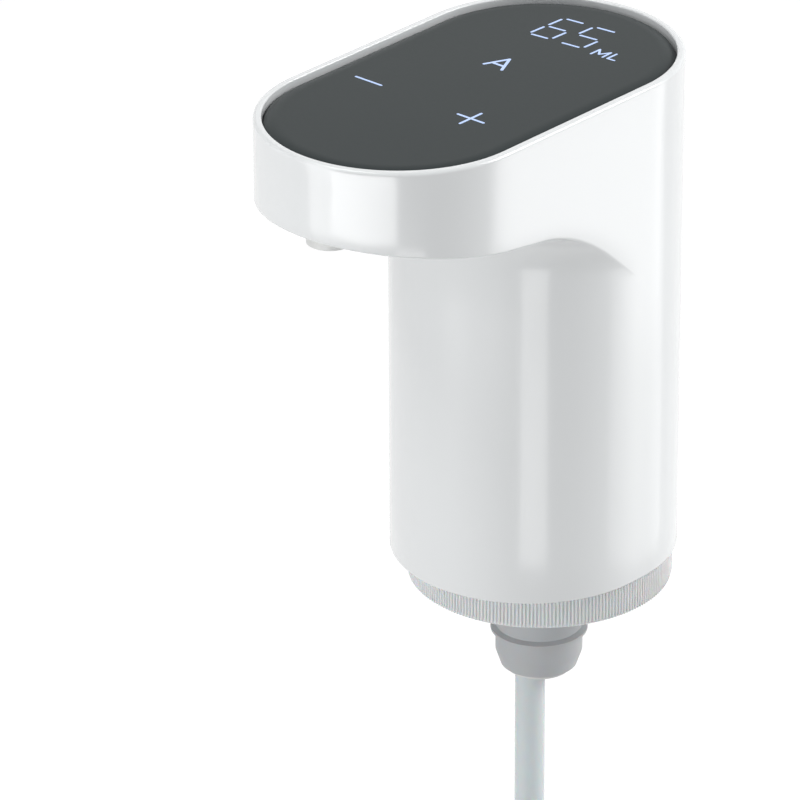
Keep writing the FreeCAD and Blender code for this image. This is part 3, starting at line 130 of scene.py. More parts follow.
def colour(default, name, description):
    """A colour setting."""
    return FloatVectorProperty(name=name, description=description, default=default, size=3, min=0, max=1,
                               subtype="COLOR")


class ShellSettings(bpy.types.PropertyGroup):
    """Sizes of the moulded shell"""
    radius: length(27, "Radius", "Plan radius of the column and of the nose")
    span: length(40.8, "Head span", "Column axis to the centre of the nose arc")
    column_front: length(3.6, "Column stretch", "Straight stretch of the column plan")
    wall: length(2, "Wall", "Thickness of the shell")
    foot: length(3, "Foot level", "Lower edge of the shell above the bottle lip")
    rim: length(106.1, "Rim level", "Top of the rim above the bottle lip")
    nose_drop: length(15.8, "Nose depth", "Depth of the nose below the rim")
    slope: FloatProperty(name="Slope", description="Fall of the underside towards the column",
                         default=math.radians(8.4), subtype="ANGLE")
    fillet: length(12.5, "Root fillet", "Fillet between the underside and the column")
    rim_width: length(1.6, "Rim width", "Width of the rim round the lens")
    rim_round: length(0.75, "Rim round", "Rounding of the outer edge of the rim")
    edge_round: length(0.55, "Edge round", "Rounding of the lower edge of the head")
    pocket: length(2.9, "Lens pocket", "Depth of the pocket for the lens")
    tint: colour((0.80, 0.815, 0.82), "Shell colour", "Colour of the moulded shell")


class LensSettings(bpy.types.PropertyGroup):
    """Sizes of the touch lens and its lit signs"""
    radius: length(25.25, "Lens radius", "Plan radius of the lens")
    top: length(105.5, "Lens level", "Face of the lens above the bottle lip")
    thickness: length(2, "Lens thickness", "Thickness of the lens")
    roll: length(1.5, "Rolled edge", "How far the edge of the lens rolls down")
    tint: colour((0.036, 0.0435, 0.0445), "Lens colour", "Colour of the smoked lens")
    stroke: length(0.50, "Sign stroke", "Stroke width of the lit signs")
    glow: colour((0.42, 0.54, 0.82), "Sign colour", "Colour of the lit signs")
    strength: amount(0.40, "Sign strength", "Brightness of the lit signs")


class CollarSettings(bpy.types.PropertyGroup):
    """Ribs of the bayonet collar"""
    ribs: IntProperty(name="Ribs", description="Ribs round the collar", default=226, min=3)
    radius: length(25.75, "Root radius", "Radius on which the ribs are centred")
    rib: length(0.27, "Rib radius", "Radius of one rib")
    low: length(4.15, "Lower end", "How far the ribs reach below the bottle lip")
    high: length(2.45, "Upper end", "How far the ribs reach above the bottle lip")
    tint: colour((0.79, 0.795, 0.80), "Collar colour", "Colour of the collar")


class StageSettings(bpy.types.PropertyGroup):
    """Floor and light"""
    floor_drop: length(123, "Floor gap", "Floor below the pushed-in dip tube, clear of the drawn-out one")
    room: amount(0.25, "Room light", "Brightness of the surroundings")
    paper: amount(0.84, "Floor glow", "White added to the floor for rays that look")
    windows: amount(1, "Windows", "Brightness of the two tall lamps")
    glows: amount(1, "Glows", "Brightness of the low lamps")
    ceiling: amount(1, "Ceiling", "Brightness of the lamps overhead")


SETTINGS = {"shell": ShellSettings, "lens": LensSettings, "collar": CollarSettings, "stage": StageSettings}


def settings(name):
    """The property group of this name on the scene."""
    return getattr(bpy.context.scene, "dispenser_" + name)


# ---- shader groups and materials --------------------------------------------------------------

def shader_group(name, inputs, outputs, fill):
    """Build a shader node group once, with named sockets."""
    group = bpy.data.node_groups.get(name)
    if group:
        return group
    group = bpy.data.node_groups.new(name, "ShaderNodeTree")
    for label, kind, default in inputs:
        socket = group.interface.new_socket(label, in_out="INPUT", socket_type=kind)
        socket.default_value = default
    for label, kind in outputs:
        group.interface.new_socket(label, in_out="OUTPUT", socket_type=kind)
    start = group.nodes.new("NodeGroupInput")
    end = group.nodes.new("NodeGroupOutput")
    fill(group, start, end)
    return group


def add(tree, kind, links=(), **values):
    """Add a node, set its plain values and link its inputs."""
    node = tree.nodes.new(kind)
    for key, value in values.items():
        setattr(node, key, value)
    for socket, source in links:
        if isinstance(source, bpy.types.NodeSocket):
            tree.links.new(source, node.inputs[socket])
        else:
            node.inputs[socket].default_value = source
    return node


def noise(tree, vector, scale, detail):
    """Noise from 0 to 1."""
    node = add(tree, "ShaderNodeTexNoise", [("Vector", vector), ("Scale", scale), ("Detail", detail)])
    return node.outputs["Fac"]


def remap(tree, value, source, target):
    """A value moved from one range to another."""
    node = add(tree, "ShaderNodeMapRange", [("Value", value), ("From Min", source[0]), ("From Max", source[1]),
                                            ("To Min", target[0]), ("To Max", target[1])])
    return node.outputs["Result"]


def maths(tree, operation, first, second):
    """One step of arithmetic."""
    return add(tree, "ShaderNodeMath", [(0, first), (1, second)], operation=operation).outputs[0]


def mixed(tree, share, first, second):
    """Two colours mixed by a share."""
    return add(tree, "ShaderNodeMix", [("Factor", share), (6, first), (7, second)], data_type="RGBA").outputs[2]


def fill_moulding(group, start, end):
    """Flow marks in the colour, patchy gloss and the faint waviness of a moulded skin."""
    given = start.outputs
    place = add(group, "ShaderNodeTexCoord").outputs["Object"]
    broad = noise(group, place, 35.0, 3.0)
    fine = noise(group, place, given["Grain Scale"], 4.0)
    middle = (0.3, 0.7)
    share = maths(group, "MULTIPLY", remap(group, broad, middle, (1.0, 0.0)), given["Variation"])
    swing = maths(group, "MULTIPLY", remap(group, fine, middle, (-1.0, 1.0)), given["Gloss Swing"])
    group.links.new(mixed(group, share, given["Colour"], given["Shade"]), end.inputs["Colour"])
    group.links.new(maths(group, "ADD", swing, given["Roughness"]), end.inputs["Roughness"])
    group.links.new(fine, end.inputs["Height"])


def moulding():
    """Shader group for moulded plastic, rubber and film."""
    return shader_group(
        "Moulded skin",
        (("Colour", "NodeSocketColor", (1, 1, 1, 1)), ("Shade", "NodeSocketColor", (0.9, 0.9, 0.9, 1)),
         ("Variation", "NodeSocketFloat", 0.3), ("Roughness", "NodeSocketFloat", 0.3),
         ("Gloss Swing", "NodeSocketFloat", 0.02), ("Grain Scale", "NodeSocketFloat", 900.0)),
        (("Colour", "NodeSocketColor"), ("Roughness", "NodeSocketFloat"), ("Height", "NodeSocketFloat")),
        fill_moulding)


def fill_drawn(group, start, end):
    """Long drawing marks along one axis for metal parts."""
    given = start.outputs
    place = add(group, "ShaderNodeTexCoord").outputs["Object"]
    stretch = add(group, "ShaderNodeMapping", [("Vector", place), ("Scale", given["Stretch"])]).outputs["Vector"]
    marks = noise(group, stretch, 420.0, 5.0)
    share = remap(group, marks, (0.35, 0.65), (0.0, 1.0))
    rough = remap(group, marks, (0.0, 1.0), (given["Roughness Low"], given["Roughness High"]))
    group.links.new(mixed(group, share, given["Colour"], given["Shade"]), end.inputs["Colour"])
    group.links.new(rough, end.inputs["Roughness"])
    group.links.new(marks, end.inputs["Height"])


def drawn():
    """Shader group for drawn, ground or sintered metal."""
    return shader_group(
        "Drawn metal",
        (("Colour", "NodeSocketColor", (0.6, 0.6, 0.6, 1)), ("Shade", "NodeSocketColor", (0.4, 0.4, 0.4, 1)),
         ("Stretch", "NodeSocketVector", (6, 6, 0.3)), ("Roughness Low", "NodeSocketFloat", 0.2),
         ("Roughness High", "NodeSocketFloat", 0.4)),
        (("Colour", "NodeSocketColor"), ("Roughness", "NodeSocketFloat"), ("Height", "NodeSocketFloat")),
        fill_drawn)


def finish(name, group, values, bump=0.0, bump_reach=0.00002, **plain):
    """Principled material whose colour, roughness and relief come from a shader group."""
    material = bpy.data.materials.get(name)
    if material:
        return material
    material = bpy.data.materials.new(name)
    material.use_nodes = True
    tree = material.node_tree
    shader = tree.nodes["Principled BSDF"]
    skin = tree.nodes.new("ShaderNodeGroup")
    skin.node_tree = group
    for key, value in values.items():
        skin.inputs[key].default_value = (*value, 1) if key in ("Colour", "Shade") else value
    tree.links.new(skin.outputs["Colour"], shader.inputs["Base Color"])
    tree.links.new(skin.outputs["Roughness"], shader.inputs["Roughness"])
    if bump:
        relief = add(tree, "ShaderNodeBump", [("Strength", bump), ("Distance", bump_reach),
                                              ("Height", skin.outputs["Height"])])
        tree.links.new(relief.outputs["Normal"], shader.inputs["Normal"])
    for key, value in plain.items():
        shader.inputs[key.replace("_", " ")].default_value = value
    material.diffuse_color = (*values["Colour"], 1)
    return material


def darker(tint, share):
    """The same colour with less light."""
    return tuple(c * share for c in tint)


def shell_finish():
    """Polished white moulding under a clear skin."""
    tint = tuple(settings("shell").tint)
    return finish("Polished white shell", moulding(), {
        "Colour": tint, "Shade": darker(tint, 0.985), "Variation": 0.5, "Roughness": 0.22, "Gloss Swing": 0.015,
        "Grain Scale": 260.0}, bump=0.04, bump_reach=0.00003,
        Coat_Weight=0.6, Coat_Roughness=0.13, Coat_IOR=1.5)


def lens_finish():
    """Smoked touch lens, satin hard coat."""
    tint = tuple(settings("lens").tint)
    return finish("Smoked lens", moulding(), {
        "Colour": tint, "Shade": darker(tint, 0.93), "Variation": 0.5, "Roughness": 0.3, "Gloss Swing": 0.02,
        "Grain Scale": 1500.0}, bump=0.04, bump_reach=0.00001, Specular_IOR_Level=0.08)


def collar_finish():
    """Slightly milky collar plastic."""
    tint = tuple(settings("collar").tint)
    return finish("Milky collar", moulding(), {
        "Colour": tint, "Shade": darker(tint, 0.95), "Variation": 0.6, "Roughness": 0.24, "Gloss Swing": 0.02,
        "Grain Scale": 900.0}, bump=0.05, Coat_Weight=0.2, Coat_Roughness=0.08,
        Subsurface_Weight=0.25, Subsurface_Scale=0.001)


def plain_plastic(name, tint, rough=0.42, **plain):
    """Inner moulding with a fine eroded grain."""
    return finish(name, moulding(), {
        "Colour": tint, "Shade": darker(tint, 0.9), "Variation": 0.5, "Roughness": rough, "Gloss Swing": 0.05,
        "Grain Scale": 2400.0}, bump=0.25, bump_reach=0.00003, **plain)


def metal(name, tint, low, high, stretch=(6, 6, 0.3)):
    """Metal with drawing marks."""
    return finish(name, drawn(), {
        "Colour": tint, "Shade": darker(tint, 0.72), "Stretch": stretch, "Roughness Low": low,
        "Roughness High": high}, bump=0.15, bump_reach=0.00002, Metallic=1.0)


def slot_finish(slot):
    """The material of a record slot."""
    makers = {
        "white_shell": shell_finish,
        "dark_lens": lens_finish,
        "ribbed_collar": collar_finish,
        "white_plastic": lambda: plain_plastic("Inner white moulding", (0.74, 0.745, 0.735), 0.34),
        "dark_plastic": lambda: plain_plastic("Inner black moulding", (0.035, 0.036, 0.038)),
        "black_rubber": lambda: plain_plastic("Black rubber", (0.022, 0.022, 0.023), 0.62),
        "silicone": lambda: plain_plastic("Stopper silicone", (0.50, 0.515, 0.53), 0.46, Subsurface_Weight=0.2,
                                          Subsurface_Scale=0.002, Sheen_Weight=0.15),
        "hose_silicone": lambda: plain_plastic("Hose silicone", (0.72, 0.72, 0.69), 0.5, Subsurface_Weight=0.3,
                                               Subsurface_Scale=0.002),
        "clear_tube": lambda: plain_plastic("Milky dip tube", (0.70, 0.735, 0.75), 0.22, Subsurface_Weight=0.35,
                                            Subsurface_Scale=0.002, Coat_Weight=0.3),
        "board_green": lambda: plain_plastic("Solder mask", (0.02, 0.16, 0.07), 0.3, Coat_Weight=0.3),
        "amber_film": lambda: plain_plastic("Amber film", (0.5, 0.24, 0.04), 0.25, Coat_Weight=0.3),
        "cell_wrap": lambda: plain_plastic("Cell wrap", (0.04, 0.17, 0.42), 0.25, Coat_Weight=0.3),
        "red_wire": lambda: plain_plastic("Lead insulation", (0.5, 0.03, 0.03), 0.45),
        "steel": lambda: metal("Bright steel", (0.62, 0.62, 0.61), 0.18, 0.34),
        "iron": lambda: metal("Sintered iron", (0.22, 0.22, 0.225), 0.42, 0.62, (2, 2, 2)),
        "brass": lambda: metal("Brass", (0.78, 0.56, 0.24), 0.2, 0.36),
        "copper": lambda: metal("Enamelled winding", (0.66, 0.28, 0.12), 0.22, 0.4, (0.3, 0.3, 8)),
    }
    return makers[slot]()


# ---- mesh helpers -----------------------------------------------------------------------------

def plain_mesh(obj):
    """Turn an object with modifiers into a plain mesh object at the origin."""
    graph = bpy.context.evaluated_depsgraph_get()
    graph.update()
    mesh = bpy.data.meshes.new_from_object(obj.evaluated_get(graph), depsgraph=graph)
    obj.modifiers.clear()
    obj.data = mesh
    return obj


def mesh_object(name, verts, faces, material=None, sharp=None):
    """A smooth-shaded mesh object; edges sharper than the angle stay sharp."""
    mesh = bpy.data.meshes.new(name)
    mesh.from_pydata([tuple(v) for v in verts], [], faces)
    if material:
        mesh.materials.append(material)
    mesh.validate()
    mesh.shade_smooth()
    if sharp is not None:
        mesh.set_sharp_from_angle(angle=math.radians(sharp))
    obj = bpy.data.objects.new(name, mesh)
    bpy.context.scene.collection.objects.link(obj)
    return obj


def face_outwards(obj):
    """Recalculate the normals of a closed mesh."""
    work = bmesh.new()
    work.from_mesh(obj.data)
    bmesh.ops.remove_doubles(work, verts=work.verts, dist=1e-7)
    bmesh.ops.recalc_face_normals(work, faces=work.faces)
    work.to_mesh(obj.data)
    work.free()
    return obj


def close_loops(loops):
    """Faces of a tube whose rings and whose stations both close on themselves."""
    stations, count = len(loops), len(loops[0])
    faces = []
    for i in range(stations):
        j = (i + 1) % stations
        for k in range(count):
            m = (k + 1) % count
            faces.append((i * count + k, j * count + k, j * count + m, i * count + m))
    return [p for loop in loops for p in loop], faces


def wall_faces(rings, count, base=0):
    """Quads between closed rings of `count` points that lie one above the other."""
    return [(base + r * count + i, base + r * count + (i + 1) % count,
             base + (r + 1) * count + (i + 1) % count, base + (r + 1) * count + i)
            for r in range(rings - 1) for i in range(count)]


def end_faces(rings, count, base=0):
    """The two faces that close a stack of rings below and above."""
    top = base + (rings - 1) * count
    return [tuple(range(base, base + count))[::-1], tuple(range(top, top + count))]


# ---- shell ------------------------------------------------------------------------------------

class ShellShape:
    """Outline, underside and section of the shell, on the face or `inset` inside it."""

    def __init__(self, inset=0.0):
        s = settings("shell")
        self.radius = s.radius - inset
        self.fillet = s.fillet + inset
        self.front = s.column_front
        self.span = s.span
        self.slope = math.tan(s.slope)
        nose = s.rim - s.nose_drop - (s.span + s.radius) * self.slope
        self.level = nose + inset / math.cos(s.slope)
        self.sink = self.fillet / math.cos(s.slope)

    def plane(self, y):
        """Level of the sloped underside."""
        return self.level - self.slope * y

    def underside(self, x, y):
        """Level of the underside with the rolled fillet towards the column."""
        reach = self.radius + self.fillet
        ahead = y - self.fillet * math.sin(math.atan(self.slope))
        outside = math.hypot(x, ahead + self.front) if ahead < -self.front else abs(x)
        if outside >= reach:
            return self.plane(y)
        past, fine, coarse = 0.02, 1441, 25
        turn = np.linspace(-math.pi / 2 - past, math.pi / 2 + past, fine)
        straight = np.linspace(-self.front, 6 * MM, coarse)
        cx = np.concatenate([reach * np.sin(turn), np.full(coarse, reach), np.full(coarse, -reach)])
        cy = np.concatenate([-self.front - reach * np.cos(turn), straight, straight])
        off = self.fillet ** 2 - (x - cx) ** 2 - (y - cy) ** 2
        rolled = self.level - self.slope * cy - self.sink + np.sqrt(np.maximum(off, 0))
        level = np.where(off >= -1e-8, rolled, -1.0)
        return float(min(level.max(), self.plane(y)))

    def outline(self, turn):
        """Point of the head outline seen from the column's front centre, and its outward normal."""
        sx, sy = math.sin(turn), -math.cos(turn)
        if abs(sx) > 1e-9:
            along = self.radius / abs(sx)
            y = -self.front + along * sy
            if y >= -self.span:
                return (math.copysign(self.radius, sx), y), (math.copysign(1, sx), 0)
        gap = self.span - self.front
        back = gap * -sy
        along = back + math.sqrt(back * back - gap * gap + self.radius ** 2)
        x, y = along * sx, -self.front + along * sy
        return (x, y), (x / self.radius, (y + self.span) / self.radius)


def arc(centre, radius, start, end, steps):
    """Points of an arc in a section plane, angles in degrees."""
    return [(centre[0] + radius * math.cos(math.radians(start + (end - start) * i / steps)),
             centre[1] + radius * math.sin(math.radians(start + (end - start) * i / steps)))
            for i in range(steps + 1)]


def spaced(start, end, steps):
    """Values between two ends, without the first."""
    return [start + (end - start) * (i + 1) / steps for i in range(steps)]


def shell_stations():
    """(outline point, normal, column point, column normal) round the shell, seen from above."""
    s = settings("shell")
    shape = ShellShape()
    stations = []

    def shared(point, normal):
        """Add a station where head and column are one wall."""
        stations.append((point, normal, point, normal))

    for degrees in range(0, 181, 2):
        way = math.cos(math.radians(degrees)), math.sin(math.radians(degrees))
        shared((shape.radius * way[0], shape.radius * way[1]), way)
    for y in spaced(0, -s.column_front, 3)[:-1]:
        shared((-shape.radius, y), (-1, 0))
    for degrees in range(-90, 91):
        turn = math.radians(degrees)
        point, normal = shape.outline(turn)
        column = (shape.radius * math.sin(turn), -shape.front - shape.radius * math.cos(turn))
        stations.append((point, normal, column, (math.sin(turn), -math.cos(turn))))
    for y in spaced(-s.column_front, 0, 3)[:-1]:
        shared((shape.radius, y), (1, 0))
    return stations


def underside_run(shape, point, column, start, steps):
    """Points from the lower edge of the head to the column, `start` inside the edge, denser at both ends."""
    gap = math.dist(point, column)
    run = []
    for i in range(steps + 1):
        share = i / steps
        share = share * share * (3 - 2 * share) * 0.35 + share * 0.65
        move = start + (gap - start) * share
        x = point[0] + (column[0] - point[0]) * move / gap
        y = point[1] + (column[1] - point[1]) * move / gap
        run.append((x, y, shape.underside(x, y)))
    return run


def shell_section(station, outer, inner):
    """Closed section of the shell at one station."""
    s = settings("shell")
    point, normal, column, column_normal = station

    def at(base, way, offset, z):
        """Point at this level, `offset` inside the outline."""
        return base[0] - way[0] * offset, base[1] - way[1] * offset, z

    ring = []
    lip, pocket = INNER_LIP_ROUND, s.rim - s.pocket
    for offset, z in ([(s.rim_width, pocket), (s.rim_width, s.rim - s.pocket * 0.5)]
                      + arc((s.rim_width - lip, s.rim - lip), lip, 0, 90, 4)
                      + arc((s.rim_round, s.rim - s.rim_round), s.rim_round, 90, 180, 7)):
        ring.append(at(point, normal, offset, z))
    outer_steps, inner_steps = 34, 14
    gap = math.dist(point, column)
    overhang = gap > TINY
    if overhang:
        low = outer.underside(*point)
        cut = min(s.edge_round, gap * 0.45)
    else:
        low = outer.underside(outer.radius, min(point[1], 0.0)) + SEAM
        cut = 0.0
    for z in spaced(s.rim - s.rim_round, low + cut, 6):
        ring.append(at(point, normal, 0, z))
    if overhang:
        run = underside_run(outer, point, column, cut, outer_steps)
        first, last = ring[-1], run[0]
        corner = (point[0], point[1], low)
        for share in (0.25, 0.5, 0.75):
            a, b, c = (1 - share) ** 2, 2 * share * (1 - share), share ** 2
            ring.append(tuple(a * first[i] + b * corner[i] + c * last[i] for i in range(3)))
        ring.extend(run)
    else:
        for z in spaced(low, low - 2 * SEAM, outer_steps + 4):
            ring.append(at(point, normal, 0, z))
    for z in spaced(ring[-1][2], s.foot + FOOT_ROUND, 7):
        ring.append(at(column, column_normal, 0, z))
    for offset, z in arc((FOOT_ROUND, s.foot + FOOT_ROUND), FOOT_ROUND, 180, 270, 4)[1:]:
        ring.append(at(column, column_normal, offset, z))
    ring.append(at(column, column_normal, s.wall, s.foot))

    inner_point = at(point, normal, s.wall, 0)[:2]
    inner_column = at(column, column_normal, s.wall, 0)[:2]
    if overhang:
        back = underside_run(inner, inner_point, inner_column, 0.0, inner_steps)[::-1]
    else:
        level = inner.underside(inner.radius, min(inner_point[1], 0.0))
        back = [(*inner_point, level + SEAM * i / 10) for i in range(inner_steps + 1)]
    for z in spaced(s.foot, back[0][2], 4)[:-1]:
        ring.append((*inner_column, z))
    ring.extend(back)
    ring.append((*inner_point, pocket - LEDGE_THICKNESS))
    ring.append(at(point, normal, s.wall + LEDGE_DEPTH, pocket - LEDGE_THICKNESS))
    ring.append(at(point, normal, s.wall + LEDGE_DEPTH, pocket))
    return ring


class DISPENSER_OT_shell(bpy.types.Operator):
    """Build the moulded shell with its rim, head, fillet and column"""
    bl_idname = "dispenser.shell"
    bl_label = "Shell"

    def execute(self, context):
        s = settings("shell")
        outer, inner = ShellShape(), ShellShape(s.wall)
        loops = [shell_section(station, outer, inner) for station in shell_stations()]
        verts, faces = close_loops(loops)
        shell = face_outwards(mesh_object("shell", verts, faces, shell_finish()))
        below_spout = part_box("spout")[0].z - 10 * MM
        cutters = (round_cutter("spout_cutter", (0, SPOUT_Y, below_spout), SPOUT_HOLE, 30 * MM),
                   slot_cutter("socket_cutter", *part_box("usb_socket"), SOCKET_GAP))
        for cutter in cutters:
            modifier = shell.modifiers.new("Hole", "BOOLEAN")
            modifier.object = cutter
            modifier.solver = "EXACT"
        plain_mesh(shell)
        for cutter in cutters:
            bpy.data.objects.remove(cutter)
        shell.data.shade_smooth()
        shell.data.set_sharp_from_angle(angle=math.radians(SHELL_CREASE))
        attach(shell, "body")
        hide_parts("housing")
        return {"FINISHED"}


def round_cutter(name, base, radius, height):
    """Upright cylinder that cuts a hole."""
    work = bmesh.new()
    bmesh.ops.create_cone(work, cap_ends=True, segments=64, radius1=radius, radius2=radius, depth=height,
                          matrix=Matrix.Translation(Vector(base) + Vector((0, 0, height / 2))))
    mesh = bpy.data.meshes.new(name)
    work.to_mesh(mesh)
    work.free()
    obj = bpy.data.objects.new(name, mesh)
    bpy.context.scene.collection.objects.link(obj)
    return obj


def slot_cutter(name, low, high, gap):
    """Rounded slot that runs out through the rear wall."""
    mid_z = (low.z + high.z) / 2
    radius = (high.z - low.z) / 2 + gap
    shift = (high.x - low.x) / 2 + gap - radius
    plan = [(shift + radius * math.cos(a), mid_z + radius * math.sin(a))
            for a in [math.radians(-90 + 9 * i) for i in range(21)]]
    plan += [(-x, 2 * mid_z - z) for x, z in plan]
    verts = [(x, y, z) for y in (22 * MM, 32 * MM) for x, z in plan]
    faces = wall_faces(2, len(plan)) + end_faces(2, len(plan))
    return face_outwards(mesh_object(name, verts, faces))


# ---- lens and signs ---------------------------------------------------------------------------

def stadium_ring(radius, span, z, steps=64):
    """Points of a stadium outline, counter-clockwise from the rear right."""
    ring = [(radius * math.cos(math.pi * i / steps), radius * math.sin(math.pi * i / steps), z)
            for i in range(steps + 1)]
    ring += [(-radius * math.cos(math.pi * i / steps), -span - radius * math.sin(math.pi * i / steps), z)
             for i in range(steps + 1)]
    return ring


class DISPENSER_OT_lens(bpy.types.Operator):
    """Build the touch lens with its rolled edge"""
    bl_idname = "dispenser.lens"
    bl_label = "Lens"

    def execute(self, context):
        lens, shell = settings("lens"), settings("shell")
        steps, stretch, flatness = 12, 2.3, 1.15
        section = [(0.0, lens.top - lens.thickness), (0.0, lens.top - lens.roll)]
        for i in range(1, steps + 1):
            turn = math.radians(90 * i / steps)
            section.append((stretch * lens.roll * (1 - math.cos(turn)),
                            lens.top - lens.roll * (1 - math.sin(turn)) ** flatness))
        rings = [stadium_ring(lens.radius - offset, shell.span, z) for offset, z in section]
        verts = [p for ring in rings for p in ring]
        faces = wall_faces(len(rings), len(rings[0])) + end_faces(len(rings), len(rings[0]))
        obj = mesh_object("touch_lens", verts, faces, lens_finish(), sharp=40)
        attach(obj, "body")
        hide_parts("lens_panel")
        return {"FINISHED"}


def sign_material():
    """Lit signs behind the lens, a little uneven as a diffuser is."""
    lens = settings("lens")
    glow = tuple(lens.glow)
    material = finish("Lit signs", moulding(), {
        "Colour": glow, "Shade": darker(glow, 0.85), "Variation": 0.5, "Roughness": 0.35, "Gloss Swing": 0.02,
        "Grain Scale": 1500.0}, Emission_Strength=lens.strength)
    inputs = material.node_tree.nodes["Principled BSDF"].inputs
    material.node_tree.links.new(inputs["Base Color"].links[0].from_socket, inputs["Emission Color"])
    return material


def bar(start, end, width):
    """Outline of a straight bar with rounded ends, in plan."""
    (x0, y0), (x1, y1) = start, end
    turn = math.atan2(y1 - y0, x1 - x0)
    points = []
    steps = 8
    for centre, first in (((x1, y1), turn - math.pi / 2), ((x0, y0), turn + math.pi / 2)):
        for i in range(steps + 1):
            a = first + math.pi * i / steps
            points.append((centre[0] + width / 2 * math.cos(a), centre[1] + width / 2 * math.sin(a)))
    return points


def segment_strokes(lit, left, low, wide, tall, gap, lean=0.036, rise=0.1):
    """Strokes of one seven-segment digit."""
    mid = tall / 2
    ends = {
        "a": ((gap, tall), (wide - gap, tall)), "b": ((wide, tall - gap), (wide, mid + gap)),
        "c": ((wide, mid - gap), (wide, gap)), "d": ((gap, 0), (wide - gap, 0)),
        "e": ((0, mid - gap), (0, gap)), "f": ((0, tall - gap), (0, mid + gap)),
        "g": ((gap, mid), (wide - gap, mid)),
    }
    return [tuple((left + x + lean * y, low + y + rise * x) for x, y in ends[key]) for key in lit]


def chain(*points):
    """Strokes from each point to the next."""
    return list(zip(points, points[1:]))


def sign_strokes():
    """(name, stroke width, strokes) of every lit sign, in millimetres on the lens."""
    stroke = settings("lens").stroke / MM
    return (
        ("sign_minus", stroke, [((-18.5, -32.1), (-12.2, -32.1))]),
        ("sign_plus", stroke * 1.1, [((7.4, -32.7), (13.6, -32.7)), ((10.5, -35.7), (10.5, -29.7))]),
        ("sign_auto", stroke * 1.2, chain((-4.4, -11.8), (-2.2, -7.0), (0.0, -11.8))
         + chain((-3.5, -10.3), (-0.9, -10.3))),
        ("digit_left", stroke, segment_strokes("acdefg", -7.7, 4.9, 5.0, 10.0, 0.8)),
        ("digit_right", stroke, segment_strokes("acdfg", -0.6, 5.5, 5.2, 10.0, 0.8)),
        ("unit_sign", stroke * 0.9, chain((7.6, 5.1), (7.6, 7.8), (8.9, 5.9), (10.2, 7.9), (10.3, 5.3))
         + chain((11.4, 8.1), (11.4, 5.4), (13.0, 5.5))),
    )


class DISPENSER_OT_signs(bpy.types.Operator):
    """Build the lit keys, digits and unit on the lens"""
    bl_idname = "dispenser.signs"
    bl_label = "Lit signs"

    def execute(self, context):
        low = settings("lens").top + 0.004 * MM
        high = low + 0.03 * MM
        for name, width, strokes in sign_strokes():
            verts, faces = [], []
            for number, (start, end) in enumerate(strokes):
                plan = bar(start, end, width)
                count, base = len(plan), len(verts)
                lift = number * 0.0002 * MM
                verts += [(x * MM, y * MM, z + lift) for z in (low, high) for x, y in plan]
                faces += wall_faces(2, count, base) + end_faces(2, count, base)
            obj = mesh_object(name, verts, faces, sign_material(), sharp=30)
            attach(obj, "body")
        return {"FINISHED"}


# ---- collar -----------------------------------------------------------------------------------

def rib_tree():
    """Geometry nodes that stand round ribs in a circle."""
    tree = bpy.data.node_groups.new("Collar ribs", "GeometryNodeTree")
    for label, kind, default in (("Ribs", "NodeSocketInt", 226), ("Root Radius", "NodeSocketFloat", 0.02575),
                                 ("Rib Radius", "NodeSocketFloat", 0.00027), ("Low", "NodeSocketFloat", -0.00415),
                                 ("High", "NodeSocketFloat", 0.00245)):
        tree.interface.new_socket(label, in_out="INPUT", socket_type=kind).default_value = default
    tree.interface.new_socket("Finish", in_out="INPUT", socket_type="NodeSocketMaterial")
    tree.interface.new_socket("Geometry", in_out="OUTPUT", socket_type="NodeSocketGeometry")
    start = tree.nodes.new("NodeGroupInput")
    end = tree.nodes.new("NodeGroupOutput")
    bottom = add(tree, "ShaderNodeCombineXYZ", [("Z", start.outputs["Low"])])
    top = add(tree, "ShaderNodeCombineXYZ", [("Z", start.outputs["High"])])
    line = add(tree, "GeometryNodeCurvePrimitiveLine", [("Start", bottom.outputs[0]), ("End", top.outputs[0])])
    dense = add(tree, "GeometryNodeResampleCurve", [("Curve", line.outputs[0]), ("Count", 9)])
    along = add(tree, "GeometryNodeSplineParameter")
    taper = add(tree, "ShaderNodeFloatCurve", [("Value", along.outputs["Factor"])])
    curve = taper.mapping.curves[0]
    curve.points[0].location = (0.0, 0.35)
    curve.points[1].location = (1.0, 0.35)
    curve.points.new(0.12, 1.0)
    curve.points.new(0.88, 1.0)
    taper.mapping.update()
    round_profile = add(tree, "GeometryNodeCurvePrimitiveCircle", [("Resolution", 8),
                                                                   ("Radius", start.outputs["Rib Radius"])])
    shaped = add(tree, "GeometryNodeSetCurveRadius", [("Curve", dense.outputs[0]),
                                                      ("Radius", taper.outputs[0])])
    rib = add(tree, "GeometryNodeCurveToMesh", [("Curve", shaped.outputs[0]),
                                                ("Profile Curve", round_profile.outputs["Curve"]),
                                                ("Fill Caps", True)])
    if "Scale" in rib.inputs:
        tree.links.new(taper.outputs[0], rib.inputs["Scale"])
    circle = add(tree, "GeometryNodeMeshCircle", [("Vertices", start.outputs["Ribs"]),
                                                  ("Radius", start.outputs["Root Radius"])])
    stand = add(tree, "GeometryNodeInstanceOnPoints", [("Points", circle.outputs[0]),
                                                       ("Instance", rib.outputs[0])])
    solid = add(tree, "GeometryNodeRealizeInstances", [("Geometry", stand.outputs[0])])
    smooth = add(tree, "GeometryNodeSetShadeSmooth", [("Geometry", solid.outputs[0])])
    coat = add(tree, "GeometryNodeSetMaterial", [("Geometry", smooth.outputs[0]),
                                                 ("Material", start.outputs["Finish"])])
    tree.links.new(coat.outputs[0], end.inputs["Geometry"])
    return tree


